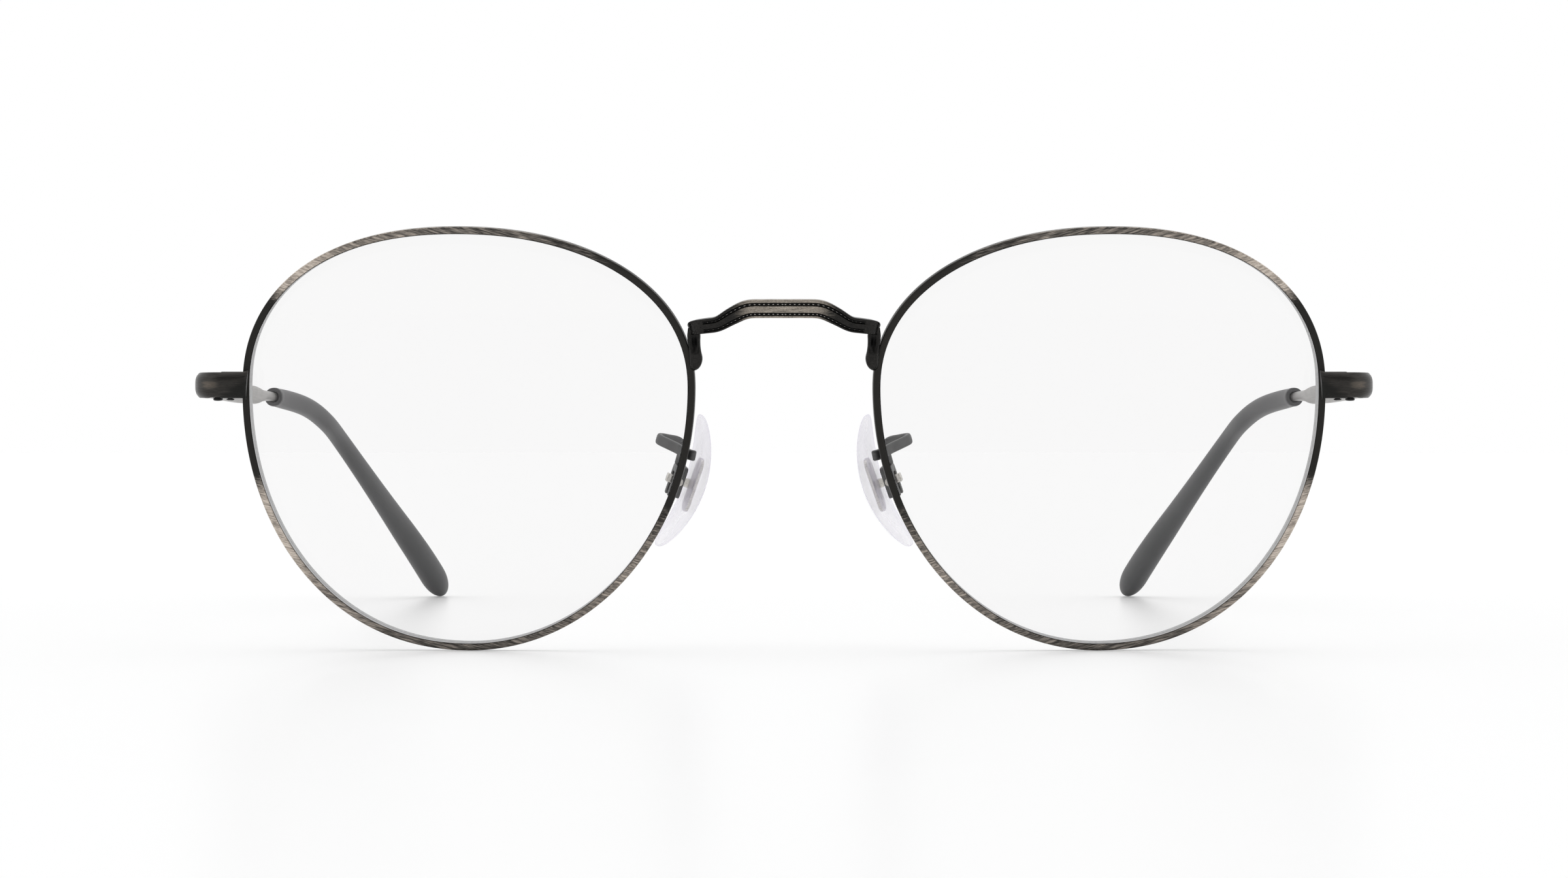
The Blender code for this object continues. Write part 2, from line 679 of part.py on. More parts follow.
def add_hinge(side, level, hinge):
    """Three knuckles on one screw: the front leaf has the middle one and the temple leaf the other two."""
    reach = KNUCKLE_RADIUS + 2 * GAP
    top = 2 * LEAF_HALF_HEIGHT
    step = KNUCKLE_HALF_HEIGHT

    name = f"hinge_temple_leaf_{side}"
    start, following = TEMPLE_LINE[:2]
    turn = (0, 0, -math.atan2(following[0] - start[0], following[1] - start[1]))
    temple_leaf = add_piece(name, leaf_mesh(name), "gunmetal", hinge, rotation=turn)
    notch = box(f"{name}_notch", (-reach, -reach, -step - GAP / 2), (reach, reach, step + GAP / 2))
    combine(temple_leaf, add_guide(f"{name}_notch", notch, hinge), "DIFFERENCE")

    name = f"hinge_front_leaf_{side}"
    mesh = leaf_mesh(name)
    mesh.transform(Matrix.Scale(-1, 4, (0, 1, 0)))
    mesh.flip_normals()
    front_leaf = add_piece(name, mesh, "gunmetal", level, (HINGE_X, HINGE_Y, 0))
    for place, low, high in (("above", step - GAP / 2, top), ("below", -top, -step + GAP / 2)):
        notch = box(f"{name}_{place}", (-reach, -reach, low), (reach, reach, high))
        combine(front_leaf, add_guide(f"{name}_{place}", notch, level, (HINGE_X, HINGE_Y, 0)), "DIFFERENCE")

    slotted_screw(
        f"hinge_screw_{side}",
        (HINGE_SHAFT_RADIUS, 2 * LEAF_HALF_HEIGHT + 3 * GAP),
        (HINGE_HEAD_RADIUS, HINGE_HEAD_HEIGHT),
        "gunmetal",
        level,
        (HINGE_X, HINGE_Y, -LEAF_HALF_HEIGHT - GAP),
        (0, 0, HINGE_SLOT_TURN),
    )


# --- Temple --------------------------------------------------------------------------------------------
def from_hinge(ring):
    """Moves a ring from millimetres about the datum to metres about the hinge."""
    hinge = Vector((HINGE_X, HINGE_Y, TEMPLE_HEIGHT))
    return [Vector(point) * MM - hinge for point in ring]


def temple_ring(line, share, table, squareness, spare=0.0):
    width, height = read_table(table, share)
    section = rounded_section(width + spare, height + spare, squareness, RING_POINTS)
    return from_hinge(ring_along(line, share, Vector((0, 0, 1)), section)[0])


def temple_mesh(name):
    """One piece of metal: a flat strip, a rounded waist, and the round core that the tip is pushed over."""
    line = Line(TEMPLE_LINE)
    last = TEMPLE_SECTIONS[-1][0]
    shares = {last * index / TEMPLE_STATIONS for index in range(TEMPLE_STATIONS + 1)}
    rings = []
    for share in sorted(shares):
        blend = min(1.0, max(0.0, (share - STRIP_END) / (TEMPLE_SECTIONS[-2][0] - STRIP_END)))
        squareness = STRIP_SQUARENESS + (CORE_SQUARENESS - STRIP_SQUARENESS) * blend
        rings.append(temple_ring(line, share, TEMPLE_SECTIONS, squareness))
    return loft(name, rings)


def tip_mesh(name):
    """The plastic tip, from the bottom of its bore out to the mouth and on to its rounded end."""
    line = Line(TEMPLE_LINE)
    mouth, end, core = TIP_SECTIONS[0][0], TIP_SECTIONS[-1][0], TEMPLE_SECTIONS[-1][0]
    spare = 4 * GAP / MM
    bore_end = core + BORE_SPARE
    rings = []
    for index in range(BORE_STATIONS + 1):
        share = bore_end + (mouth - bore_end) * index / BORE_STATIONS
        rings.append(temple_ring(line, share, TEMPLE_SECTIONS, CORE_SQUARENESS, spare))
    shares = {row[0] for row in TIP_SECTIONS}
    shares |= {mouth + (end - mouth) * index / TIP_STATIONS for index in range(TIP_STATIONS + 1)}
    for share in sorted(shares):
        rings.append(temple_ring(line, share, TIP_SECTIONS, CORE_SQUARENESS))
    return loft(name, rings, last_tip=from_hinge([line.point(1)])[0])


# --- Nose pads -----------------------------------------------------------------------------------------
def pad_arm_mesh(name):
    """A flattened wire that loops back from the rim and down to the pad box."""
    line = Line(ARM_LINE)
    section = rounded_section(ARM_THICKNESS / MM, ARM_HEIGHT / MM, ARM_SQUARENESS, RING_POINTS - 2)
    up = Vector((0, 0, 1))
    rings = []
    for index in range(ARM_STATIONS + 1):
        ring, up = ring_along(line, index / ARM_STATIONS, up, section)
        rings.append([point * MM for point in ring])
    return loft(name, rings)


def pad_box_mesh(name):
    """A fork that straddles the pad's tab, open below."""
    wide, slot, ease = BOX_WIDTH / 2, BOX_SLOT / 2, BOX_CORNER
    outline = (
        (-wide, -BOX_FOOT + ease),
        (-wide + ease, -BOX_FOOT),
        (-slot, -BOX_FOOT),
        (-slot, BOX_SLOT_TOP),
        (slot, BOX_SLOT_TOP),
        (slot, -BOX_FOOT),
        (wide - ease, -BOX_FOOT),
        (wide, -BOX_FOOT + ease),
        (wide, BOX_TOP - ease),
        (wide - ease, BOX_TOP),
        (-wide + ease, BOX_TOP),
        (-wide, BOX_TOP - ease),
    )
    mesh = outline_plate(name, (outline,), -BOX_THICKNESS / 2, BOX_THICKNESS / 2)
    upright = Matrix(((0, 0, 1, 0), (1, 0, 0, 0), (0, 1, 0, 0), (0, 0, 0, 1)))
    mesh.transform(upright)
    return mesh


def plate_mesh(name, spare):
    """The insert's plate inside the pad, and with some spare the pocket that it is moulded into."""
    half = PLATE_THICKNESS / 2 + spare
    wide, tall = PLATE_WIDTH / 2 + spare, PLATE_LENGTH / 2 + spare
    low = (-PLATE_OFFSET - half, -wide, -tall)
    high = (-PLATE_OFFSET + half, wide, tall)
    return box(name, low, high)


def tab_mesh(name, spare):
    wide, tall = TAB_WIDTH / 2 + spare, TAB_HEIGHT / 2 + spare
    return box(name, (-PLATE_OFFSET, -wide, -tall), (TAB_REACH, wide, tall))


def pad_mesh(name):
    """The silicone pad: a thin drop that is bowed towards the nose."""
    rings = []
    for index in range(1, PAD_STATIONS):
        along = math.sin(math.radians(90) * (index / PAD_STATIONS * 2 - 1))
        fullness = math.sqrt(1 - along**2)
        wide = PAD_WIDTH * (1 + PAD_TAPER * along) * fullness**PAD_WIDTH_POWER
        thick = PAD_THICKNESS * fullness**PAD_THICKNESS_POWER
        middle = Vector((PAD_BOW * along**2 - PAD_OFFSET, 0, PAD_LENGTH / 2 * along))
        section = rounded_section(thick, wide, PAD_SQUARENESS, PAD_POINTS)
        rings.append([middle + Vector((x, y, 0)) for x, y in section])
    foot, head = (Vector((PAD_BOW - PAD_OFFSET, 0, end * PAD_LENGTH / 2)) for end in (-1, 1))
    return loft(name, rings, foot, head)


def add_nose_pad(side, front, pad):
    """The arm and box belong to the front; the insert and its pad rock on the pad screw."""
    name = f"pad_arm_{side}"
    add_piece(name, pad_arm_mesh(name), "gunmetal", front)
    turn = (math.radians(-90), 0, 0)
    name = f"pad_screw_bore_{side}"
    bore_mesh = cylinder(name, PAD_SCREW_RADIUS + GAP, -BOX_WIDTH, BOX_WIDTH)
    bore = add_guide(name, bore_mesh, pad, rotation=turn)

    name = f"pad_box_{side}"
    combine(add_piece(name, pad_box_mesh(name), "gunmetal", pad), bore, "DIFFERENCE")

    name = f"pad_insert_{side}"
    insert = add_piece(name, plate_mesh(name, 0), "steel", pad)
    combine(insert, add_guide(f"{name}_tab", tab_mesh(f"{name}_tab", 0), pad), "UNION")
    combine(insert, bore, "DIFFERENCE")

    name = f"nose_pad_{side}"
    silicone = add_piece(name, pad_mesh(name), "clear_silicone", pad)
    combine(silicone, add_guide(f"{name}_pocket", plate_mesh(f"{name}_pocket", GAP), pad), "DIFFERENCE")
    combine(silicone, add_guide(f"{name}_mouth", tab_mesh(f"{name}_mouth", GAP), pad), "DIFFERENCE")

    slotted_screw(
        f"pad_screw_{side}",
        (PAD_SCREW_RADIUS, BOX_WIDTH),
        (PAD_SCREW_HEAD_RADIUS, PAD_SCREW_HEAD_HEIGHT),
        "steel",
        pad,
        (0, -BOX_WIDTH / 2 - GAP, 0),
        turn,
    )


# --- Assembly ------------------------------------------------------------------------------------------
def add_half(side, mirror, glasses):
    """One half of the glasses. Returns its tilted front and the cutter that clears its rim wire."""
    half = add_empty(f"{side}_half", glasses, scale=(mirror, 1, 1))
    front = add_empty(f"{side}_front", half, rotation=(PANTOSCOPIC_TILT, 0, 0))
    eye = add_empty(f"{side}_eye", front, (EYE_CENTRE_X, 0, EYE_CENTRE_Z), (0, 0, WRAP))
    level = add_empty(f"{side}_level", half, (0, 0, TEMPLE_HEIGHT))
    hinge = add_empty(f"{side}_hinge", level, (HINGE_X, HINGE_Y, 0))
    pad = add_empty(f"{side}_pad", front, PAD_PIVOT)
    pad.rotation_mode = "ZXY"
    pad.rotation_euler = (0, -PAD_LEAN, -PAD_SPLAY)

    add_piece(f"rim_{side}", rim_mesh(f"rim_{side}"), "brushed_gunmetal", eye)
    add_piece(f"lens_{side}", lens_mesh(f"lens_{side}"), "clear_lens", eye)
    wire_cutter = add_guide(f"rim_clearance_{side}", rim_clearance_mesh(f"rim_clearance_{side}"), eye)

    add_piece(f"endpiece_{side}", endpiece_mesh(f"endpiece_{side}"), "brushed_gunmetal", level)
    add_closing_blocks(side, level, wire_cutter)
    add_hinge(side, level, hinge)
    add_piece(f"temple_{side}", temple_mesh(f"temple_{side}"), "brushed_gunmetal", hinge)
    add_piece(f"temple_tip_{side}", tip_mesh(f"temple_tip_{side}"), "tip_plastic", hinge)
    add_nose_pad(side, front, pad)
    return front, wire_cutter


def add_glasses():
    glasses = add_empty("glasses", location=(0, FRONT_OFFSET, DATUM_HEIGHT))
    front, left_cutter = add_half("left", 1, glasses)
    right_cutter = add_half("right", -1, glasses)[1]
    bridge = add_piece("bridge", bridge_mesh("bridge"), "brushed_gunmetal", front)
    combine(bridge, left_cutter, "DIFFERENCE")
    combine(bridge, right_cutter, "DIFFERENCE")


clear_scene()
PIECES = make_collection("round_wire_eyeglasses")
GUIDES = make_collection("guides")
add_glasses()
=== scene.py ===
"""Round wire eyeglasses on a pale table, seen from the front.

Each piece is drawn in millimetres for the wearer's left, with X out from the middle plane, Y back and Z up
from the middle of the front. It is then placed in metres on its CAD body. The right half is a mirror image.
"""

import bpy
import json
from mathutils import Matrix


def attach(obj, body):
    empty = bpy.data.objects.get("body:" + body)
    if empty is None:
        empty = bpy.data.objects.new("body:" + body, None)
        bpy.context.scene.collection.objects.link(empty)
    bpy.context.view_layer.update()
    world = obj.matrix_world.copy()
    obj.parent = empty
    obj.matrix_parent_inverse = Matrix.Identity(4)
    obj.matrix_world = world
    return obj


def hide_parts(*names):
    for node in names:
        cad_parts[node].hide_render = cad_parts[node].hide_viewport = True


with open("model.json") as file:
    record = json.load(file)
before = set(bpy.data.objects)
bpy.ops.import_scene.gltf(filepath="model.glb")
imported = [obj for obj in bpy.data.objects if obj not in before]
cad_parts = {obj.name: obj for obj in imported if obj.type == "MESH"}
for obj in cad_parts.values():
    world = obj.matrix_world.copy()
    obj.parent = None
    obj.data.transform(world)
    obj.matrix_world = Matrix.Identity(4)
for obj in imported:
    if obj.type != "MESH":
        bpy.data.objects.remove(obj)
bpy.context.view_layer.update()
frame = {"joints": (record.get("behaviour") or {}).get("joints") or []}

import json
import math

import bmesh
import bpy
import numpy as np
from mathutils import Euler, Matrix, Vector

MM = 0.001
SIDES = {"left": 1, "right": -1}

# --- Driving dimensions, in mm ---
TILT, WRAP = math.radians(8), math.radians(4)
EYE_CENTRE = (35.93, 0, 6.02)
EYE_TEMPORAL, EYE_NASAL, EYE_ABOVE, EYE_BELOW = 25.36, 25.98, 17.93, 30.25
POWERS = {(1, 1): 2.22, (-1, 1): 2.13, (1, -1): 2.14, (-1, -1): 2.0}  # by (temporal, upper)
LENS_RADIUS, MEAN_EYE_RADIUS = 130, 25
# Where the rim's outline leaves those curves: angle and spread in degrees, and the shift inwards.
TRIMS = ((15, 13, 0.19), (125, 32, 0.085), (-30, 26, -0.07), (-128, 26, -0.09), (-91, 15, 0.038))
RIM_WIDTH, RIM_DEPTH, RIM_CROWN = 0.76, 1.6, 0.07
RIM_STATIONS, LENS_STATIONS = 640, 240
GROOVE_HALF, GROOVE_DEPTH = 0.45, 0.4
BLOCK_SLIT, RIM_SLIT = 0.25, 0.008
BLOCK_FRONT = 0.66
LENS_THICKNESS, LENS_SETBACK = 1.45, 0.05
GAP = 0.05  # between neighbours that don't touch
TEMPLE_HEIGHT = 6.1
HINGE_X, HINGE_Y = 65.2, 9.5

# --- Placing ---
HINGE = next(Vector(joint["pos_m"]) for joint in frame["joints"] if joint["child"] == "left_temple")
DATUM = Vector((0, HINGE.y - HINGE_Y * MM, HINGE.z - TEMPLE_HEIGHT * MM))
TILTED = Matrix.Rotation(TILT, 4, "X")
EYE = TILTED @ Matrix.Translation(EYE_CENTRE) @ Matrix.Rotation(WRAP, 4, "Z")
LEVEL = Matrix.Translation((0, 0, TEMPLE_HEIGHT))
AT_HINGE = Matrix.Translation((HINGE_X, HINGE_Y, TEMPLE_HEIGHT))
PAD_PIVOT = (12.3, 7.3, -5.75)
PAD_TURN = Euler((0, math.radians(-19), math.radians(-13)), "ZXY").to_matrix().to_4x4()
AT_PAD = TILTED @ Matrix.Translation(PAD_PIVOT) @ PAD_TURN
# Takes what is drawn in X and Y, raised in Z, to Y and Z, raised in X.
STANDING = Matrix(((0, 0, 1, 0), (1, 0, 0, 0), (0, 1, 0, 0), (0, 0, 0, 1)))
CORNERS = ((-1, -1), (1, -1), (1, 1), (-1, 1))


def placed(side, local):
    """Takes a drawing for the left to its place on a side, or in the middle, in metres."""
    return Matrix.Translation(DATUM) @ Matrix.Diagonal((SIDES.get(side, 1) * MM, MM, MM, 1)) @ local


def shown(name, data):
    """A new object in the scene."""
    made = bpy.data.objects.new(name, data)
    bpy.context.scene.collection.objects.link(made)
    return made


# --- Shapes ---
def skin(rings, first="flat", last="flat"):
    """The points and faces of a skin through rings. An end is flat, open or a tip."""
    rings = np.asarray(rings, float)
    count, around = rings.shape[:2]
    points = rings.reshape(-1, 3).tolist()
    faces = []
    for row in range(count - 1):
        near, far = row * around, (row + 1) * around
        for index in range(around):
            after = (index + 1) % around
            faces.append((near + index, near + after, far + after, far + index))
    for end, base in ((first, 0), (last, (count - 1) * around)):
        if isinstance(end, str):
            if end == "flat":
                faces.append(tuple(range(base, base + around)))
            continue
        points.append(list(end))
        for index in range(around):
            faces.append((base + index, base + (index + 1) % around, len(points) - 1))
    return points, faces


def mesh_of(name, shape):
    points, faces = shape
    mesh = bpy.data.meshes.new(name)
    mesh.from_pydata([tuple(point) for point in points], [], faces)
    return outwards(mesh)


def outwards(mesh):
    shape = bmesh.new()
    shape.from_mesh(mesh)
    bmesh.ops.recalc_face_normals(shape, faces=shape.faces)
    shape.to_mesh(mesh)
    shape.free()
    return mesh


def modified(mesh, kind, **settings):
    """A mesh after one modifier."""
    holder = shown(mesh.name, mesh)
    modifier = holder.modifiers.new(kind, kind)
    for key, value in settings.items():
        setattr(modifier, key, value)
    bpy.context.view_layer.update()
    made = bpy.data.meshes.new_from_object(holder.evaluated_get(bpy.context.evaluated_depsgraph_get()))
    bpy.data.objects.remove(holder)
    return made


def eased(mesh, width, segments=3):
    """A mesh with its sharp edges rounded off."""
    return modified(mesh, "BEVEL", width=width, segments=segments, angle_limit=math.radians(35))


def combined(mesh, other, operation):
    cutter = shown(other.name, other)
    made = modified(mesh, "BOOLEAN", operation=operation, object=cutter, solver="EXACT")
    bpy.data.objects.remove(cutter)
    return made


def rounded(corners, steps=4):
    """A closed outline through (x, y, ease) corners, each cut back by its ease and bent round."""
    points = []
    corners = [np.array(corner, float) for corner in corners]
    for index, corner in enumerate(corners):
        before, after = corners[index - 1][:2], corners[(index + 1) % len(corners)][:2]
        here, ease = corner[:2], corner[2]
        start = here + (before - here) / np.linalg.norm(before - here) * ease
        end = here + (after - here) / np.linalg.norm(after - here) * ease
        for step in range(steps + 1):
            share = step / steps
            points.append((1 - share) ** 2 * start + 2 * share * (1 - share) * here + share**2 * end)
    return np.array(points)


def superellipse(width, height, squareness, count):
    angles = math.tau * (np.arange(count) + 0.5) / count
    across, up = np.cos(angles), np.sin(angles)
    reach = (np.abs(across) ** squareness + np.abs(up) ** squareness) ** (-1 / squareness)
    return np.stack([width / 2 * reach * across, height / 2 * reach * up], 1)


def smooth_line(points, step=0.1, soften=0.0):
    """A Catmull-Rom line through points, resampled evenly, with its bends softened over a length."""
    points = np.array(points, float)
    ends = np.vstack([2 * points[0] - points[1], points, 2 * points[-1] - points[-2]])
    samples = []
    for a, b, c, d in zip(ends, ends[1:], ends[2:], ends[3:]):
        share = np.linspace(0, 1, 60, endpoint=False)[:, None]
        square, cube = 2 * a - 5 * b + 4 * c - d, 3 * b - a - 3 * c + d
        samples.append(b + (c - a) / 2 * share + square / 2 * share**2 + cube / 2 * share**3)
    line = np.vstack(samples + [points[-1:]])
    lengths = along(line)
    count = max(2, round(lengths[-1] / step))
    wanted = np.linspace(0, lengths[-1], count + 1)
    line = np.stack([np.interp(wanted, lengths, column) for column in line.T], 1)
    if soften:
        reach = max(1, round(soften / step))
        weights = np.hanning(2 * reach + 3)[1:-1]
        weights /= weights.sum()
        wide = np.vstack([2 * line[0] - line[reach:0:-1], line, 2 * line[-1] - line[-2 : -reach - 2 : -1]])
        line = np.stack([np.convolve(column, weights, "valid") for column in wide.T], 1)
    return line


def along(line):
    """How far along a line each of its points is."""
    return np.concatenate([[0], np.cumsum(np.linalg.norm(np.diff(line[:, :3], axis=0), axis=1))])


def swept(line, section, up=(0, 0, 1), carried=False):
    """Rings square to a line. section(index) gives its (side, up) points. up is fixed, or carried along."""
    places = line[:, :3]
    forwards = np.gradient(places, axis=0)
    forwards /= np.linalg.norm(forwards, axis=1)[:, None]
    up = np.array(up, float)
    rings = []
    for index, (place, forward) in enumerate(zip(places, forwards)):
        here = up - up.dot(forward) * forward
        here /= np.linalg.norm(here)
        side = np.cross(forward, here)
        points = section(index)
        rings.append(place + points[:, :1] * side + points[:, 1:] * here)
        if carried:
            up = here
    return np.array(rings)


def turned(profile, steps=40):
    """A shape turned about Z from (radius, height) points, the first and last on the axis."""
    angles = math.tau * np.arange(steps) / steps
    around = [(math.cos(a), math.sin(a)) for a in angles]
    rings = [[(radius * x, radius * y, height) for x, y in around] for radius, height in profile[1:-1]]
    return skin(rings, (0, 0, profile[0][1]), (0, 0, profile[-1][1]))


def drill(radius, half):
    """A rod along Z to cut a bore with."""
    return mesh_of("bore", turned([(0, half), (radius, half), (radius, -half), (0, -half)]))


def block(low, high):
    """A box between two corners."""
    low, high = np.array(low, float), np.array(high, float)
    ring = [((x + 1) / 2, (y + 1) / 2) for x, y in CORNERS]
    return mesh_of("block", skin([[low + (high - low) * (x, y, z) for x, y in ring] for z in (0, 1)]))


def plate(outline, low, high):
    """A flat outline in X and Y, raised from one height to another."""
    return skin([[(x, y, height) for x, y in outline] for height in (low, high)])


# --- Node materials ---
class Nodes:
    """Short ways to build a node tree."""

    def __init__(self, tree):
        self.tree = tree

    def put(self, socket, value):
        if isinstance(value, bpy.types.NodeSocket):
            self.tree.links.new(value, socket)
        elif isinstance(value, tuple) and socket.type == "RGBA":
            socket.default_value = (*value, 1)
        else:
            socket.default_value = value

    def node(self, kind, inputs=(), **settings):
        node = self.tree.nodes.new(f"ShaderNode{kind}")
        for key, value in settings.items():
            setattr(node, key, value)
        for key, value in dict(inputs).items():
            self.put(node.inputs[key], value)
        return node

    def math(self, operation, *values):
        return self.node("Math", dict(enumerate(values)), operation=operation).outputs[0]

    def scaled(self, value, factor, plus):
        return self.math("MULTIPLY_ADD", value, factor, plus)

    def vector(self, operation, *values):
        node = self.node("VectorMath", dict(enumerate(values)), operation=operation)
        return node.outputs["Value" if operation == "DOT_PRODUCT" else "Vector"]

    def span(self, value, low, high, start=0.0, end=1.0):
        """A value carried smoothly from one range to another, without passing its ends."""
        inputs = {"Value": value, "From Min": low, "From Max": high, "To Min": start, "To Max": end}
        return self.node("MapRange", inputs, interpolation_type="SMOOTHSTEP").outputs["Result"]

    def mix(self, share, first, second):
        return self.node("Mix", {0: share, 6: first, 7: second}, data_type="RGBA").outputs[2]

    def ramp(self, value, stops):
        """Colours, or greys, at stops of a value."""
        node = self.node("ValToRGB", {0: value})
        while len(node.color_ramp.elements) < len(stops):
            node.color_ramp.elements.new(1.0)
        for element, (place, colour) in zip(node.color_ramp.elements, stops):
            element.position = place
            element.color = (*colour, 1) if isinstance(colour, tuple) else (colour, colour, colour, 1)
        return node.outputs["Color"]


class Finish(Nodes):
    """A Principled material and short ways to feed it. Positions are a piece's own drawing, in mm."""

    def __init__(self, name, **plain):
        self.material = bpy.data.materials.new(name)
        self.material.use_nodes = True
        super().__init__(self.material.node_tree)
        self.shader = self.tree.nodes["Principled BSDF"]
        for key, value in plain.items():
            self.shader.inputs[key.replace("_", " ")].default_value = value
        self.drawn = self.node("Attribute", attribute_name="drawn").outputs["Vector"]

    def attribute(self, name):
        return self.node("Attribute", attribute_name=name).outputs["Fac"]

    def axis(self, index):
        return self.node("SeparateXYZ", {0: self.drawn}).outputs[index]

    def noise(self, scales, detail=2.0, rough=0.5, shift=0.0, place=None):
        """Noise whose grains are 1 / scale mm long on each axis, or on all of them."""
        scales = scales if isinstance(scales, tuple) else (scales, scales, scales)
        place = self.vector("MULTIPLY_ADD", place or self.drawn, scales, (shift, shift, shift))
        inputs = {"Vector": place, "Scale": 1.0, "Detail": detail, "Roughness": rough}
        return self.node("TexNoise", inputs).outputs["Fac"]

    def strokes(self, slant, length, width, detail=3.0, shift=0.0):
        """Noise drawn out into strokes at an angle to X in the drawing's X and Z."""
        run, rise = math.cos(slant), math.sin(slant)
        lengthwise = self.vector("DOT_PRODUCT", self.drawn, (run / length, 0, rise / length))
        across = self.vector("DOT_PRODUCT", self.drawn, (-rise / width, 0, run / width))
        depth = self.math("DIVIDE", self.axis(1), width)
        place = self.node("CombineXYZ", {0: lengthwise, 1: depth, 2: across}).outputs[0]
        inputs = {"Vector": self.vector("ADD", place, (shift, shift, shift)), "Scale": 1.0}
        inputs.update({"Detail": detail, "Roughness": 0.6, "Distortion": 0.25})
        return self.node("TexNoise", inputs).outputs["Fac"]

    def bump(self, height, strength, depth):
        """Small relief whose full height is a depth in mm."""
        inputs = {"Height": height, "Strength": strength, "Distance": depth * MM}
        self.put(self.shader.inputs["Normal"], self.node("Bump", inputs).outputs["Normal"])

    def colour(self, value):
        self.put(self.shader.inputs["Base Color"], value)

    def roughness(self, value, factor, plus):
        self.put(self.shader.inputs["Roughness"], self.scaled(value, factor, plus))


BLACK = (0.03, 0.029, 0.027)
DEEP = (0.012, 0.012, 0.012)
CROWN_HIGHLIGHT_LENGTH = 4.5  # from the endpiece's inner end to the middle of its painted highlight


def rim_finish():
    """Black satin plating, brushed through to warm grey metal above, below and at the temporal side, its
    brightness around the turn a painted reflection.
    """
    f = Finish("antique_rim_metal", Metallic=1.0)
    turn = f.attribute("turn")
    ragged = f.scaled(f.noise((2.2, 2.2, 5.0), 3.0, 0.7), 0.012, turn)
    # Shares of a turn from the temporal side upwards, and how bright the metal is painted there: zero is
    # the black plating, and the brushed parts' differing brightness is a painted reflection of their sheen.
    stops = (
        (0.072, 0.0), (0.076, 0.34), (0.085, 0.8), (0.108, 0.86), (0.14, 0.6), (0.2, 0.55),
        (0.24, 0.42), (0.3, 0.37), (0.345, 0.33), (0.375, 0.2), (0.4, 0.03), (0.59, 0.0),
        (0.597, 0.22), (0.62, 0.5), (0.645, 0.6), (0.69, 0.42), (0.735, 0.33), (0.8, 0.38),
        (0.86, 0.6), (0.892, 0.86), (0.925, 0.8), (0.938, 0.34), (0.942, 0.0),
    )
    # light carries where the brushing shows, and the painted reflection brightness of each part.
    light = f.ramp(ragged, stops)
    broad = f.span(f.strokes(math.radians(16), 3.0, 0.19, 2.0), 0.32, 0.68, -0.18, 0.18)
    fine = f.span(f.strokes(math.radians(14), 1.5, 0.075, 2.0, 7.0), 0.34, 0.66, -0.17, 0.2)
    grain = f.math("ADD", broad, fine)
    brushed = f.span(light, 0.0, 0.15)
    tone = f.scaled(f.math("MULTIPLY", grain, brushed), 0.9, light)
    colours = (
        (0.0, BLACK), (0.2, (0.052, 0.048, 0.044)), (0.42, (0.14, 0.127, 0.114)),
        (0.62, (0.29, 0.256, 0.224)), (0.86, (0.53, 0.462, 0.398)), (1.0, (0.66, 0.59, 0.52)),
    )
    f.colour(f.ramp(tone, colours))
    f.roughness(f.noise(0.8), 0.12, f.span(brushed, 0, 1, 0.4, 0.3))
    f.bump(f.math("MULTIPLY", grain, brushed), 0.5, 0.012)
    return f


def bridge_finish():
    """Worn metal on the lands and beads of the bar, black in its grooves, at its ends and on its legs, with
    painted shade deepening the black in each leg's scoop.
    """
    f = Finish("engraved_bridge_metal", Metallic=1.0)
    length, relief, bead = f.attribute("length"), f.attribute("relief"), f.attribute("bead")
    streaks = f.span(f.strokes(0.0, 1.3, 0.1), 0.3, 0.7)
    specks = f.span(f.noise((5.0, 5.0, 12.0), 3.0, 0.65, 4.0), 0.3, 0.7)
    worn = f.span(f.scaled(streaks, 1.1, length), 4.0, 6.3, 1.0, 0.03)
    tone = f.math("MULTIPLY", f.math("ADD", streaks, specks), 0.5)
    land = f.mix(tone, (0.115, 0.102, 0.088), (0.46, 0.41, 0.35))
    black = f.mix(tone, (0.013, 0.013, 0.013), (0.022, 0.022, 0.022))
    land = f.mix(worn, black, land)
    # Low relief darkens to near black: the grooves' black fill, and painted shade in the legs' scoops.
    groove = f.mix(relief, (0.01, 0.01, 0.01), land)
    bright = f.math("MULTIPLY", f.span(bead, 0.25, 0.9), f.span(length, 2.5, 8.5, 0.42, 0.1))
    f.colour(f.mix(bright, groove, (0.86, 0.83, 0.79)))
    f.roughness(f.noise(1.0), 0.14, 0.28)
    f.bump(f.math("ADD", streaks, specks), 0.15, 0.006)
    return f


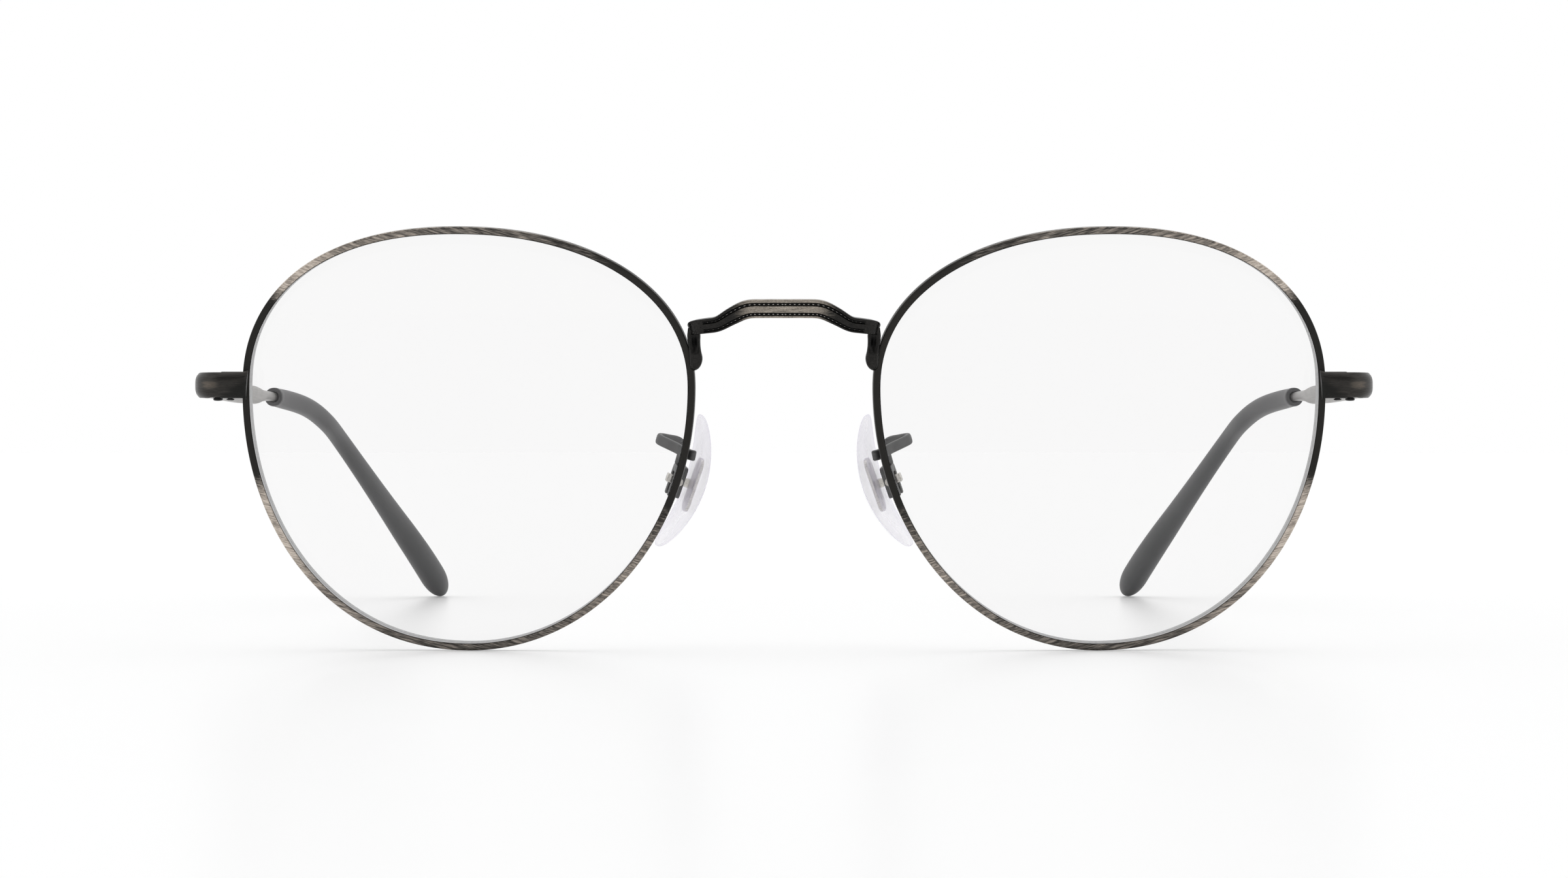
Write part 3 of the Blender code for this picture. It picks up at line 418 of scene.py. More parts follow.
def endpiece_finish():
    """Dark metal with a long brushing round the bend, a painted warm highlight on its crown, and black by
    the rim.
    """
    f = Finish("brushed_endpiece_metal", Metallic=1.0)
    length, height = f.attribute("length"), f.axis(2)

    def drawn_out(lengthwise, across, *settings):
        place = {0: f.math("MULTIPLY", length, lengthwise), 2: f.math("MULTIPLY", height, across)}
        return f.span(f.noise(1, *settings, f.node("CombineXYZ", place).outputs[0]), 0.3, 0.7)

    lines = drawn_out(0.3, 6.0, 4.0, 0.65, 0.0)
    hairs = drawn_out(1.2, 16.0, 2.0, 0.6, 3.0)
    # A painted warm highlight: an oval spot on the crown, a set length from the inner end.
    off = f.math("SUBTRACT", length, CROWN_HIGHLIGHT_LENGTH)
    squashed = f.math("MULTIPLY", height, f.math("MULTIPLY", height, 3.0))
    spot = f.scaled(f.math("MULTIPLY", off, off), 0.45, squashed)
    painted_crown_highlight = f.span(f.scaled(lines, 0.9, spot), 0.3, 1.7, 1.0, 0.0)
    tone = f.scaled(f.math("ADD", lines, hairs), 0.2, f.scaled(painted_crown_highlight, 0.45, 0.02))
    stops = (
        (0.0, (0.022, 0.0215, 0.021)), (0.4, (0.056, 0.052, 0.048)),
        (0.75, (0.12, 0.102, 0.086)), (1.0, (0.2, 0.165, 0.13)),
    )
    brushed = f.ramp(tone, stops)
    low = f.scaled(height, 1.5, length)
    plain = f.span(f.scaled(lines, 0.8, low), 0.6, 2.4, 1.0, 0.0)
    f.colour(f.mix(plain, brushed, (0.021, 0.021, 0.02)))
    f.roughness(hairs, 0.1, 0.27)
    f.bump(f.math("ADD", lines, hairs), 0.3, 0.006)
    return f


def plated_finish(name, dark, light, roughness):
    """Satin plating with a cloudy tone, fine pores and faint drag marks."""
    f = Finish(name, Metallic=1.0)
    cloud = f.noise(0.9, 3.0, 0.6)
    drag = f.noise((1.5, 6.0, 6.0), 3.0, 0.6, 5.0)
    pores = f.noise(14.0, 2.0, 0.5, 9.0)
    f.colour(f.mix(f.scaled(f.math("ADD", cloud, drag), 1.2, -0.7), dark, light))
    f.roughness(pores, 0.12, roughness - 0.06)
    f.bump(f.math("ADD", pores, drag), 0.1, 0.004)
    return f


def temple_finish():
    """Satin silver-grey metal, brushed lengthwise."""
    f = Finish("satin_temple_metal", Metallic=1.0)
    lines = f.noise((5.0, 0.25, 5.0), 4.0, 0.65)
    hairs = f.noise((14.0, 0.8, 14.0), 2.0, 0.5, 6.0)
    tone = f.scaled(f.math("ADD", lines, hairs), 1.1, -0.6)
    f.colour(f.mix(tone, (0.23, 0.222, 0.215), (0.4, 0.385, 0.37)))
    f.roughness(hairs, 0.16, 0.27)
    f.bump(lines, 0.3, 0.01)
    return f


def tip_finish():
    """Satin dark grey plastic, smooth, with a painted sheen making it a little paler towards its mouth."""
    f = Finish("satin_tip_plastic", IOR=1.45, Coat_Weight=0.3, Coat_Roughness=0.4)
    cloud = f.noise((0.25, 0.12, 0.25))
    grain = f.noise(7.0, 2.0, 0.5, 2.0)
    # Painted sheen: the colour turns paler towards the mouth, standing in for its grazing reflection.
    pale = f.span(f.scaled(cloud, 4.0, f.axis(1)), 88.0, 110.0, 1.0, 0.0)
    grey = f.mix(cloud, (0.0225, 0.0228, 0.024), (0.0255, 0.0258, 0.0275))
    f.colour(f.mix(pale, grey, (0.052, 0.051, 0.053)))
    f.roughness(grain, 0.08, 0.44)
    f.bump(grain, 0.02, 0.003)
    return f


def silicone_finish():
    """Clear silicone with a lavender cast: thin and see-through face-on, denser towards its edges."""
    f = Finish("clear_pad_silicone", IOR=1.41)
    facing = f.node("LayerWeight", {"Blend": 0.5}).outputs["Facing"]
    cloud = f.noise((0.5, 0.5, 0.35), 3.0, 0.6)
    edge = f.math("POWER", facing, 2.5)
    f.colour(f.mix(f.scaled(cloud, 0.3, edge), (0.93, 0.91, 0.965), (0.7, 0.665, 0.8)))
    dense = f.scaled(edge, 0.62, f.span(cloud, 0.2, 0.8, 0.07, 0.2))
    f.put(f.shader.inputs["Alpha"], dense)
    f.roughness(cloud, 0.15, 0.18)
    f.bump(f.noise(3.0), 0.1, 0.01)
    return f


def lens_finish():
    """Clear polished plastic with a weak coating: what is behind shows unbent, and edges-on it mirrors."""
    f = Finish("clear_lens")
    f.tree.nodes.remove(f.shader)
    facing = f.node("LayerWeight", {"Blend": 0.5}).outputs["Facing"]
    smears = f.noise(0.06, 3.0, 0.6)
    mirror = f.scaled(f.math("POWER", facing, 5.0), 0.45, f.span(smears, 0.3, 0.7, 0.014, 0.02))
    clear = f.node("BsdfTransparent", {"Color": (0.9705, 0.9695, 0.9695)}).outputs[0]
    gloss = f.node("BsdfGlossy", {"Color": (0.97, 0.97, 0.97), "Roughness": 0.03}).outputs[0]
    mixed = f.node("MixShader", {0: mirror, 1: clear, 2: gloss}).outputs[0]
    f.put(f.tree.nodes["Material Output"].inputs["Surface"], mixed)
    return f


def lens_edge_finish():
    """The ground edge of the lens: pale, frosted and finely scored."""
    f = Finish("ground_lens_edge", IOR=1.45)
    score = f.noise((5.0, 1.2, 5.0), 3.0, 0.6)
    f.colour(f.mix(score, (0.42, 0.42, 0.42), (0.62, 0.62, 0.62)))
    f.roughness(score, 0.2, 0.45)
    f.bump(score, 0.3, 0.02)
    return f


def floor_finish():
    """A pale satin table that mirrors its white surroundings at a low angle."""
    f = Finish("pale_table", Emission_Color=(1, 1, 1, 1), Emission_Strength=FLOOR_LIFT)
    place = f.node("NewGeometry").outputs["Position"]
    grain = f.node("TexNoise", {"Vector": place, "Scale": 60.0, "Detail": 2.0}).outputs["Fac"]
    f.colour(f.mix(grain, (0.86, 0.86, 0.86), (0.87, 0.87, 0.87)))
    f.roughness(grain, 0.02, 0.3)
    return f


# --- Pieces ---
def drawn_points(mesh):
    places = np.empty(len(mesh.vertices) * 3, np.float32)
    mesh.vertices.foreach_get("co", places)
    return places


def add_piece(side, look, kind, mesh, local, body, slot, *finishes, values=None, sharp=40):
    """Places a drawn mesh on its body, for one CAD node. values are further numbers for its points."""
    node = f"{kind}_{side}" if side else kind
    mesh.name = f"{look}_{node}"
    mesh.attributes.new("drawn", "FLOAT_VECTOR", "POINT").data.foreach_set("vector", drawn_points(mesh))
    for key, numbers in (values or {}).items():
        numbers = np.asarray(numbers, np.float32)
        mesh.attributes.new(key, "FLOAT", "POINT").data.foreach_set("value", numbers)
    matrix = placed(side, local)
    mesh.transform(matrix)
    if matrix.determinant() < 0:
        mesh.flip_normals()
    for finish in finishes:
        mesh.materials.append(finish.material)
    mesh.shade_smooth()
    mesh.set_sharp_from_angle(angle=math.radians(sharp))
    piece = shown(f"{look}_{node}", mesh)
    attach(piece, body)
    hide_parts(node)


# --- Rim and lens ---
def eye_radius(angle):
    across, up = np.cos(angle), np.sin(angle)
    half_width = np.where(across > 0, EYE_TEMPORAL, EYE_NASAL)
    half_height = np.where(up > 0, EYE_ABOVE, EYE_BELOW)
    upper = np.where(across > 0, POWERS[1, 1], POWERS[-1, 1])
    lower = np.where(across > 0, POWERS[1, -1], POWERS[-1, -1])
    power = np.where(up > 0, upper, lower)
    return (np.abs(across / half_width) ** power + np.abs(up / half_height) ** power) ** (-1 / power)


def eye_points(angle, inset, depth, share=1.0):
    """Points at a share of the way out to an inset from the rim's outside, behind the rim's front face."""
    angle, inset, depth, share = np.broadcast_arrays(angle, inset, depth, share)
    step = math.radians(0.5)
    for middle, spread, shift in TRIMS:
        apart = (np.degrees(angle) - middle + 180) % 360 - 180
        inset = inset + shift * np.exp(-((apart / spread) ** 2) / 2)

    def outline(turn):
        return np.stack([eye_radius(turn) * np.cos(turn), eye_radius(turn) * np.sin(turn)], -1)

    outer = outline(angle)
    run = outline(angle + step) - outline(angle - step)
    run /= np.linalg.norm(run, axis=-1)[..., None]
    inwards = np.stack([-run[..., 1], run[..., 0]], -1)
    flat = (outer + inwards * inset[..., None]) * share[..., None]
    sunk = outer * share[..., None]
    middle = (EYE_ABOVE - EYE_BELOW) / 2
    sag = (sunk[..., 0] ** 2 + (sunk[..., 1] - middle) ** 2 - MEAN_EYE_RADIUS**2) / (2 * LENS_RADIUS)
    return np.stack([flat[..., 0], sag + depth, flat[..., 1]], -1)


def slit_angle():
    rise = TEMPLE_HEIGHT * math.cos(TILT) - BLOCK_FRONT * math.sin(TILT) - EYE_CENTRE[2]
    return math.atan2(rise, EYE_TEMPORAL)


def rim_mesh():
    half, wide = RIM_DEPTH / 2, RIM_WIDTH
    shoulder, crown = half - RIM_CROWN, half - 0.01
    corners = [(0, -half, 0.42), (0, shoulder, 0.13), (-0.28 * wide, crown, 0.12)]
    corners += [(-0.72 * wide, crown, 0.12), (-wide, shoulder, 0.08), (-wide, GROOVE_HALF, 0.05)]
    corners += [(GROOVE_DEPTH - wide, 0, 0.08), (-wide, -GROOVE_HALF, 0.05), (-wide, -half, 0.09)]
    section = rounded(corners)
    shares = np.linspace(0, 1, RIM_STATIONS + 1)
    start = slit_angle() + RIM_SLIT / 2 / EYE_TEMPORAL
    angles = start + (math.tau - RIM_SLIT / EYE_TEMPORAL) * shares
    rings = eye_points(angles[:, None], -section[None, :, 0], half - section[None, :, 1])
    return mesh_of("rim", skin(rings)), {"turn": np.repeat(shares, len(section))}


def lens_mesh():
    """Both faces follow the base curve, and a V bevel sits in the rim's groove."""
    edge, apex = RIM_WIDTH + GAP, RIM_WIDTH - GROOVE_DEPTH + 1.5 * GAP
    front, middle, back = LENS_SETBACK, RIM_DEPTH / 2, LENS_SETBACK + LENS_THICKNESS
    bevel, ease = GROOVE_HALF - GAP, 0.04
    shares = np.linspace(0.08, 1, 14)  # of the way out from the middle
    profile = [(edge, front, share) for share in shares[:-1]]
    profile += [(edge + ease, front, 1), (edge, front + ease, 1)]
    profile += [(edge, middle - bevel, 1), (apex, middle, 1), (edge, middle + bevel, 1)]
    profile += [(edge, back - ease, 1), (edge + ease, back, 1)]
    profile += [(edge, back, share) for share in shares[-2::-1]]
    angles = math.tau * np.arange(LENS_STATIONS) / LENS_STATIONS
    inset, depth, share = np.array(profile).T
    rings = eye_points(angles[None, :], inset[:, None], depth[:, None], share[:, None])
    sag = ((EYE_ABOVE - EYE_BELOW) ** 2 / 4 - MEAN_EYE_RADIUS**2) / (2 * LENS_RADIUS)
    mesh = mesh_of("lens", skin(rings, (0, sag + front, 0), (0, sag + back, 0)))
    first, last = len(shares), len(shares) + 5
    for index, face in enumerate(mesh.polygons):
        face.material_index = int(first <= index // LENS_STATIONS < last)
    return mesh


# --- Bridge ---
BAR_LINE = (  # out, back, up, height, thickness
    (-2.2, -3.1, 15.07, 2.04, 1.1), (0.0, -3.1, 15.07, 2.04, 1.1),
    (2.2, -3.1, 15.07, 2.04, 1.1), (4.1, -3.05, 14.97, 2.04, 1.1),
    (5.7, -2.95, 14.26, 1.92, 1.1), (7.3, -2.75, 13.35, 1.68, 1.1),
    (8.5, -2.58, 13.12, 1.65, 1.06), (9.3, -2.36, 13.0, 1.62, 0.98),
    (9.86, -1.9, 12.88, 1.58, 0.92), (10.16, -1.2, 12.68, 1.5, 0.86),
    (10.24, -0.5, 12.46, 1.4, 0.8),
)
BAR_STEP, FULL_BAR = 0.05, 2.04
UPPER_GROOVE, LOWER_GROOVE = (0.5, 0.21), (-0.6, 0.21)  # middle and half width, up the bar
GROOVE_SINK, GROOVE_WALL = 0.17, 0.45
GROOVE_END, GROOVE_END_SLOPE = 9.4, 0.09
BEAD_START, BEAD_PITCH = 0.17, 0.51
BEAD_HALF_LENGTH, BEAD_HALF_HEIGHT, BEAD_RISE = 0.13, 0.085, 0.1


def carving(length, up):
    """The depth of the engraving, how much metal stands there and how much of it is bead."""
    sink = np.zeros_like(length)
    bead = np.zeros_like(length)
    count = np.maximum(0, np.round((length - BEAD_START) / BEAD_PITCH))
    nearest = BEAD_START + count * BEAD_PITCH
    for middle, half in (UPPER_GROOVE, LOWER_GROOVE):
        inside = np.clip((1 - np.abs(up - middle) / half) / GROOVE_WALL, 0, 1)
        ending = np.clip((GROOVE_END - length) / GROOVE_END_SLOPE, 0, 1)
        wall = (inside * inside * (3 - 2 * inside)) * (ending * ending * (3 - 2 * ending))
        sink = np.maximum(sink, wall)
        reach = ((length - nearest) / BEAD_HALF_LENGTH) ** 2 + ((up - middle) / BEAD_HALF_HEIGHT) ** 2
        bead = np.maximum(bead, np.sqrt(np.clip(1 - reach, 0, 1)) * ending)
    return sink * GROOVE_SINK - bead * BEAD_RISE, 1 - sink, bead


def bar_half():
    line = smooth_line(BAR_LINE, BAR_STEP, 0.5)
    line = line[np.argmin(np.abs(line[:, 0])) :]
    line[0, 0] = 0
    return line, along(line)


def bar_section(height, thickness):
    """(up, back) points: a finely divided front, eased edges and a plain back."""
    ease, fine, half = 0.14, 46, thickness / 2
    low, high = -height / 2 + ease, height / 2 - ease
    points = [(up, -half) for up in np.linspace(low, high, fine)]
    top = [(math.sin(a), 1 - math.cos(a)) for a in np.radians((22, 45, 68, 90))]
    top = [(high + ease * up, -half + ease * back) for up, back in top]
    back = [(math.cos(a), math.sin(a)) for a in np.radians((0, 30, 60, 90))]
    back = [(high + ease * up, half - ease + ease * back) for up, back in back]
    points += top + back
    points += [(-up, back) for up, back in reversed(top + back)]
    return np.array(points)


def bar_mesh():
    line, lengths = bar_half()
    rings = []
    forwards = np.gradient(line[:, :3], axis=0)
    forwards[0] = (1, 0, 0)
    depth = np.array((0.0, 1.0, 0.0))
    for place, forward, length in zip(line, forwards, lengths):
        forward /= np.linalg.norm(forward)
        depth = depth - depth.dot(forward) * forward
        depth /= np.linalg.norm(depth)
        rise = np.cross(forward, depth)
        section = bar_section(place[3], place[4])
        up = section[:, 0] * FULL_BAR / place[3]
        sink = carving(np.full(len(up), length), up)[0] * (section[:, 1] <= -place[4] / 2 + 1e-6)
        rings.append(place[:3] + section[:, :1] * rise + (section[:, 1] + sink)[:, None] * depth)
    left = np.array(rings)
    right = left[:0:-1] * (-1, 1, 1)
    return mesh_of("bar", skin(np.concatenate([right, left])))


LEG_LINE = (  # out, back, up, width, thickness
    (10.2, -1.05, 12.75, 1.1, 1.0), (10.08, -1.15, 12.0, 1.48, 1.2),
    (10.07, -1.25, 11.4, 1.45, 1.25), (10.0, -1.32, 10.6, 1.36, 1.25),
    (9.92, -1.36, 9.9, 1.4, 1.3), (9.84, -1.36, 9.3, 1.5, 1.3),
    (9.9, -1.3, 8.76, 1.36, 1.2), (10.02, -1.18, 8.42, 1.1, 1.05),
    (10.2, -1.0, 8.16, 0.66, 0.75),
)
SCOOP_DEPTH, SCOOP_TOP, SCOOP_FOOT = 0.55, 12.3, 9.9
LEG_INNER_X, LEG_MIDDLE_X, LEG_TOP, LEG_FACE_Y = 9.0, 10.0, 12.1, -1.2


def leg_mesh():
    """The leg from the bar's end down the rim: scooped in front above, and swelling to a foot."""
    line = smooth_line(LEG_LINE, 0.12, 0.3)

    def section(index):
        width, thickness = line[index, 3:]
        points = superellipse(width, thickness, 2.6, 36)
        depth = (SCOOP_TOP - line[index, 2]) / (SCOOP_TOP - SCOOP_FOOT)
        fade = math.sin(math.pi * depth) ** 0.6 if 0 < depth < 1 else 0
        middle = np.exp(-(((points[:, 0] - 0.05) / 0.36) ** 2))
        facing = points[:, 1] > 0
        points[:, 1] -= SCOOP_DEPTH * fade * middle * facing
        return points

    return mesh_of("leg", skin(swept(line, section, up=(0, -1, 0))))


def nearest_on_bar(points):
    """For points of the bridge, how far along the bar and how far up it they lie."""
    line, lengths = bar_half()
    apart = np.abs(points[:, 0])[:, None] - line[None, :, 0]
    over = points[:, 2][:, None] - line[None, :, 2]
    index = np.argmin(apart**2 + over**2 + (points[:, 1][:, None] - line[None, :, 1]) ** 2, axis=1)
    slope = np.gradient(line[:, :3], axis=0)[index]
    slope /= np.linalg.norm(slope, axis=1)[:, None]
    row = np.arange(len(index))
    up = over[row, index] * slope[:, 0] - apart[row, index] * slope[:, 2]
    return lengths[index], up * FULL_BAR / line[index, 3]


def add_bridge(finish):
    leg = leg_mesh()
    other = leg.copy()
    other.transform(Matrix.Diagonal((-1, 1, 1, 1)))
    other.flip_normals()
    mesh = combined(combined(bar_mesh(), leg, "UNION"), other, "UNION")
    places = drawn_points(mesh).reshape(-1, 3)
    out, back, up = np.abs(places[:, 0]), places[:, 1], places[:, 2]
    length, up_bar = nearest_on_bar(places)
    relief, bead = carving(length, up_bar)[1:]
    on_leg = (out > LEG_INNER_X) & (up < LEG_TOP)
    length = np.where(on_leg, GROOVE_END + 3, length)
    down = np.clip((SCOOP_TOP - up) / (SCOOP_TOP - SCOOP_FOOT), 0, 1)
    scooped = np.exp(-(((out - LEG_MIDDLE_X) / 0.42) ** 2)) * np.sin(math.pi * down)
    # Painted shade: relief is lowered in the scoop at the front of each leg, so the material darkens it
    # there like a groove.
    relief = np.where(on_leg & (back < LEG_FACE_Y), 1 - scooped, relief)
    values = {"length": length, "relief": relief, "bead": bead}
    add_piece(None, "engraved", "bridge", mesh, TILTED, "front", "rim_metal", finish, values=values)


# --- Endpiece (END_) and closing blocks ---
END_HEIGHT, END_CROWN, END_EDGE = 2.85, 0.5, 0.45
END_THINNING = 0.19  # beside the hinge
END_INNER_X, END_BEND_X, END_OUTER_X = 60.4, 62.9, 66.86
END_FRONT_Y, END_BEND_Y = -0.35, 3.95
END_SQUARENESS = 3.4
# At its inner end: how far its top leans out, and how far its corners turn back and up.
END_LEAN, END_TUCK, END_FLARE = 0.12, 0.35, 0.24
BLOCK_X, BLOCK_Y, BLOCK_HALF_HEIGHT = (60.9, 63.6), (BLOCK_FRONT, 2.55), 1.5
BLOCK_EASE = 0.22
CLOSING_SCREW_X = 62.55


def endpiece_mesh():
    """A crowned bar along the front that bends back to the hinge, with a rounded inner end over the rim."""
    reach_x, reach_y = END_OUTER_X - END_BEND_X, END_BEND_Y - END_FRONT_Y
    straight = np.linspace(END_INNER_X, END_BEND_X, 14)[:-1]
    stations = [((x, END_FRONT_Y), (0, -1)) for x in straight]
    for angle in np.linspace(0, math.pi / 2, 40):
        across, back = math.sin(angle), math.cos(angle)
        normal = np.array((across / reach_x, -back / reach_y))
        ridge = (END_BEND_X + reach_x * across, END_BEND_Y - reach_y * back)
        stations.append((ridge, normal / np.linalg.norm(normal)))
    arm = np.linspace(END_BEND_Y, HINGE_Y - GAP, 16)[1:]
    stations += [((END_OUTER_X, y), (1, 0)) for y in arm]
    heights = np.sin(np.linspace(-math.pi / 2, math.pi / 2, 27))
    rings, lengths, run, before = [], [], 0.0, None
    for ridge, normal in stations:
        ridge, normal = np.array(ridge), np.array(normal)
        run += 0 if before is None else np.linalg.norm(ridge - before)
        before = ridge
        ring = []
        for height in heights:
            fall = END_CROWN * abs(height) ** END_SQUARENESS
            ring.append((*(ridge - normal * fall), height * END_HEIGHT / 2))
        inner = ridge - normal * (END_CROWN + END_EDGE - END_THINNING * normal[0])
        for height in (0.97, 0.5, 0.0, -0.5, -0.97):
            ring.append((*inner, height * END_HEIGHT / 2))
        ring = np.array(ring)
        share = (ridge[0] - END_INNER_X) / (END_BEND_X - END_INNER_X)
        near = max(0.0, 1 - share) * (ridge[1] < 0)
        height = ring[:, 2] / (END_HEIGHT / 2)
        ring[:, 0] += near * END_LEAN * (1 - height)
        ring[:, 1] += END_TUCK * near**6
        ring[:, 2] += END_FLARE * near**6 * height * abs(height)
        rings.append(ring)
        lengths.append(np.full(len(ring), run))
    return mesh_of("endpiece", skin(rings)), {"length": np.concatenate(lengths)}


def slotted_screw(shaft, head, slot, turn=0.0):
    """A screw whose head is below its origin and whose shaft stands above it. Sizes are (across, along)."""
    shaft_radius, shaft_length = shaft
    radius, height = head
    width, depth = slot
    ease, dome = 0.18 * radius, 0.125 * radius
    profile = [(0, shaft_length), (shaft_radius - 0.08, shaft_length), (shaft_radius, shaft_length - 0.08)]
    profile += [(shaft_radius, 0), (radius - 0.04, 0), (radius, -0.04), (radius, -height + ease)]
    for a in np.radians((30, 60)):
        profile.append((radius - ease * (1 - math.cos(a)), -height + ease * (1 - math.sin(a))))
    profile += [(radius * s, -height - dome * (1 - s * s)) for s in (0.8, 0.6, 0.3, 0)]
    cutter = block((-2 * radius, -width / 2, -3 * height - 1), (2 * radius, width / 2, -height + depth))
    mesh = combined(mesh_of("screw", turned(profile)), cutter, "DIFFERENCE")
    mesh.transform(Matrix.Rotation(turn, 4, "Z"))
    return mesh


def add_endpiece(side, looks):
    mesh, values = endpiece_mesh()
    finish = looks["endpiece"]
    add_piece(side, "brushed", "endpiece", mesh, LEVEL, "front", "rim_metal", finish, values=values)
    for kind, up in (("closing_block_upper", 1), ("closing_block_lower", -1)):
        low, high = sorted((up * BLOCK_SLIT / 2, up * BLOCK_HALF_HEIGHT))
        mesh = eased(block((BLOCK_X[0], BLOCK_Y[0], low), (BLOCK_X[1], BLOCK_Y[1], high)), BLOCK_EASE)
        add_piece(side, "rounded", kind, mesh, LEVEL, "front", "dark_metal", looks["black"])
    mesh = slotted_screw((0.3, 2.9), (0.46, 0.14), (0.14, 0.09), turn=math.radians(30))
    seat = LEVEL @ Matrix.Translation((CLOSING_SCREW_X, sum(BLOCK_Y) / 2, -BLOCK_HALF_HEIGHT - GAP))
    add_piece(side, "slotted", "closing_screw", mesh, seat, "front", "dark_metal", looks["screw"])


# --- Hinge ---
KNUCKLE_RADIUS, KNUCKLE_HALF_HEIGHT = 0.85, 0.5
LEAF_LENGTH, LEAF_THICKNESS, LEAF_HALF_HEIGHT = 5.2, 0.45, 1.3
SHAFT_RADIUS, KNUCKLE_SPARE = 0.4, 0.03


def leaf_outline():
    inner, tip = KNUCKLE_RADIUS - LEAF_THICKNESS, 0.2
    radius, length = KNUCKLE_RADIUS, LEAF_LENGTH
    angles = np.linspace(math.acos(inner / radius), math.tau, 37)
    round_end = [(radius * math.cos(a), radius * math.sin(a)) for a in angles]
    return [(radius, length - tip), (radius - tip / 2, length), (inner, length)] + round_end


def leaf_mesh(notches):
    """A hinge leaf and its knuckles, with notches where the other leaf's knuckles turn."""
    mesh = mesh_of("leaf", plate(leaf_outline(), -LEAF_HALF_HEIGHT, LEAF_HALF_HEIGHT))
    reach = KNUCKLE_RADIUS + 0.1
    for low, high in notches:
        mesh = combined(mesh, block((-reach, -reach, low), (reach, reach, high)), "DIFFERENCE")
    mesh = combined(mesh, drill(SHAFT_RADIUS + GAP, 3), "DIFFERENCE")
    return eased(mesh, 0.06, 2)


def add_hinge(side, looks):
    wide, narrow = KNUCKLE_HALF_HEIGHT + KNUCKLE_SPARE, KNUCKLE_HALF_HEIGHT - KNUCKLE_SPARE
    body, black = f"{side}_temple", looks["black"]
    mesh = leaf_mesh([(-wide, wide)])
    turn = math.atan2(TEMPLE_LINE[1][0] - TEMPLE_LINE[0][0], TEMPLE_LINE[1][1] - TEMPLE_LINE[0][1])
    mesh.transform(Matrix.Rotation(-turn, 4, "Z"))
    add_piece(side, "rounded", "hinge_temple_leaf", mesh, AT_HINGE, body, "dark_metal", black)
    mesh = leaf_mesh([(narrow, 3), (-3, -narrow)])
    mesh.transform(Matrix.Diagonal((1, -1, 1, 1)))
    mesh.flip_normals()
    add_piece(side, "rounded", "hinge_front_leaf", mesh, AT_HINGE, "front", "dark_metal", black)
    mesh = slotted_screw((SHAFT_RADIUS, 2.75), (0.55, 0.3), (0.18, 0.15), turn=math.radians(-20))
    mesh.transform(Matrix.Translation((0, 0, -LEAF_HALF_HEIGHT - GAP)))
    add_piece(side, "slotted", "hinge_screw", mesh, AT_HINGE, "front", "dark_metal", looks["screw"])


# --- Temples ---
TEMPLE_LINE = (  # out, back, up
    (66.6, 9.55, 6.1), (68.5, 32.0, 6.0), (69.85, 56.0, 5.86),
    (70.2, 75.0, 5.82), (69.8, 87.0, 5.74), (67.05, 97.5, 4.58),
    (65.1, 104.8, 2.45), (63.54, 112.5, -0.78), (58.5, 127.5, -10.75),
    (54.85, 136.0, -17.62), (52.05, 143.0, -23.5),
)
TEMPLE_SECTIONS = (  # share of the length, width, height, squareness
    (0.0, 0.9, 2.55, 6.0), (0.15, 0.9, 2.52, 6.0), (0.3, 0.85, 2.5, 6.0),
    (0.42, 0.8, 2.4, 5.0), (0.445, 0.9, 2.1, 4.0), (0.465, 1.3, 1.6, 2.6),
    (0.485, 1.4, 1.45, 2.2), (0.53, 1.2, 1.2, 2.0), (0.955, 1.1, 1.1, 2.0),
)
TIP_SECTIONS = (  # share of the length, width, height
    (0.5315, 2.4, 2.45), (0.56, 2.62, 2.68), (0.6, 2.6, 2.66),
    (0.66, 2.45, 2.6), (0.7, 2.3, 2.55), (0.74, 2.25, 2.75),
    (0.78, 2.3, 3.0), (0.82, 2.5, 3.25), (0.86, 2.8, 3.55),
    (0.9, 3.25, 3.85), (0.94, 3.6, 4.0), (0.965, 3.65, 4.0),
)
TIP_MOUTH, TIP_BORE_END, TIP_ROUND_START = 0.5315, 0.957, 0.968
TIP_BORE_SPARE = 0.2
# The lip's growth, and how far past the mouth as a share of the length.
TIP_LIP = ((0.97, 0.0), (1.01, 0.0003), (1.035, 0.0012), (1.05, 0.0025), (1.06, 0.004))


def temple_line():
    line = smooth_line(TEMPLE_LINE, 0.25, 3.0)
    return line, along(line) / along(line)[-1]


def table_at(table, share, spread=0.0, steps=1):
    """A table's numbers at a share of the length, averaged over a spread to both sides."""
    rows = np.array(table)
    shares = share + np.linspace(-spread, spread, steps)
    return [np.interp(shares, rows[:, 0], column).mean() for column in rows[:, 1:].T]


def temple_mesh():
    line, shares = temple_line()
    last = TEMPLE_SECTIONS[-1][0]
    line, shares = line[shares <= last], shares[shares <= last]

    def section(index):
        return superellipse(*table_at(TEMPLE_SECTIONS, shares[index], 0.004, 3), 36)

    rings = swept(line, section)
    rings[0] += (rings[0].mean(0) - rings[0]) * 0.12
    return mesh_of("temple", skin(rings))


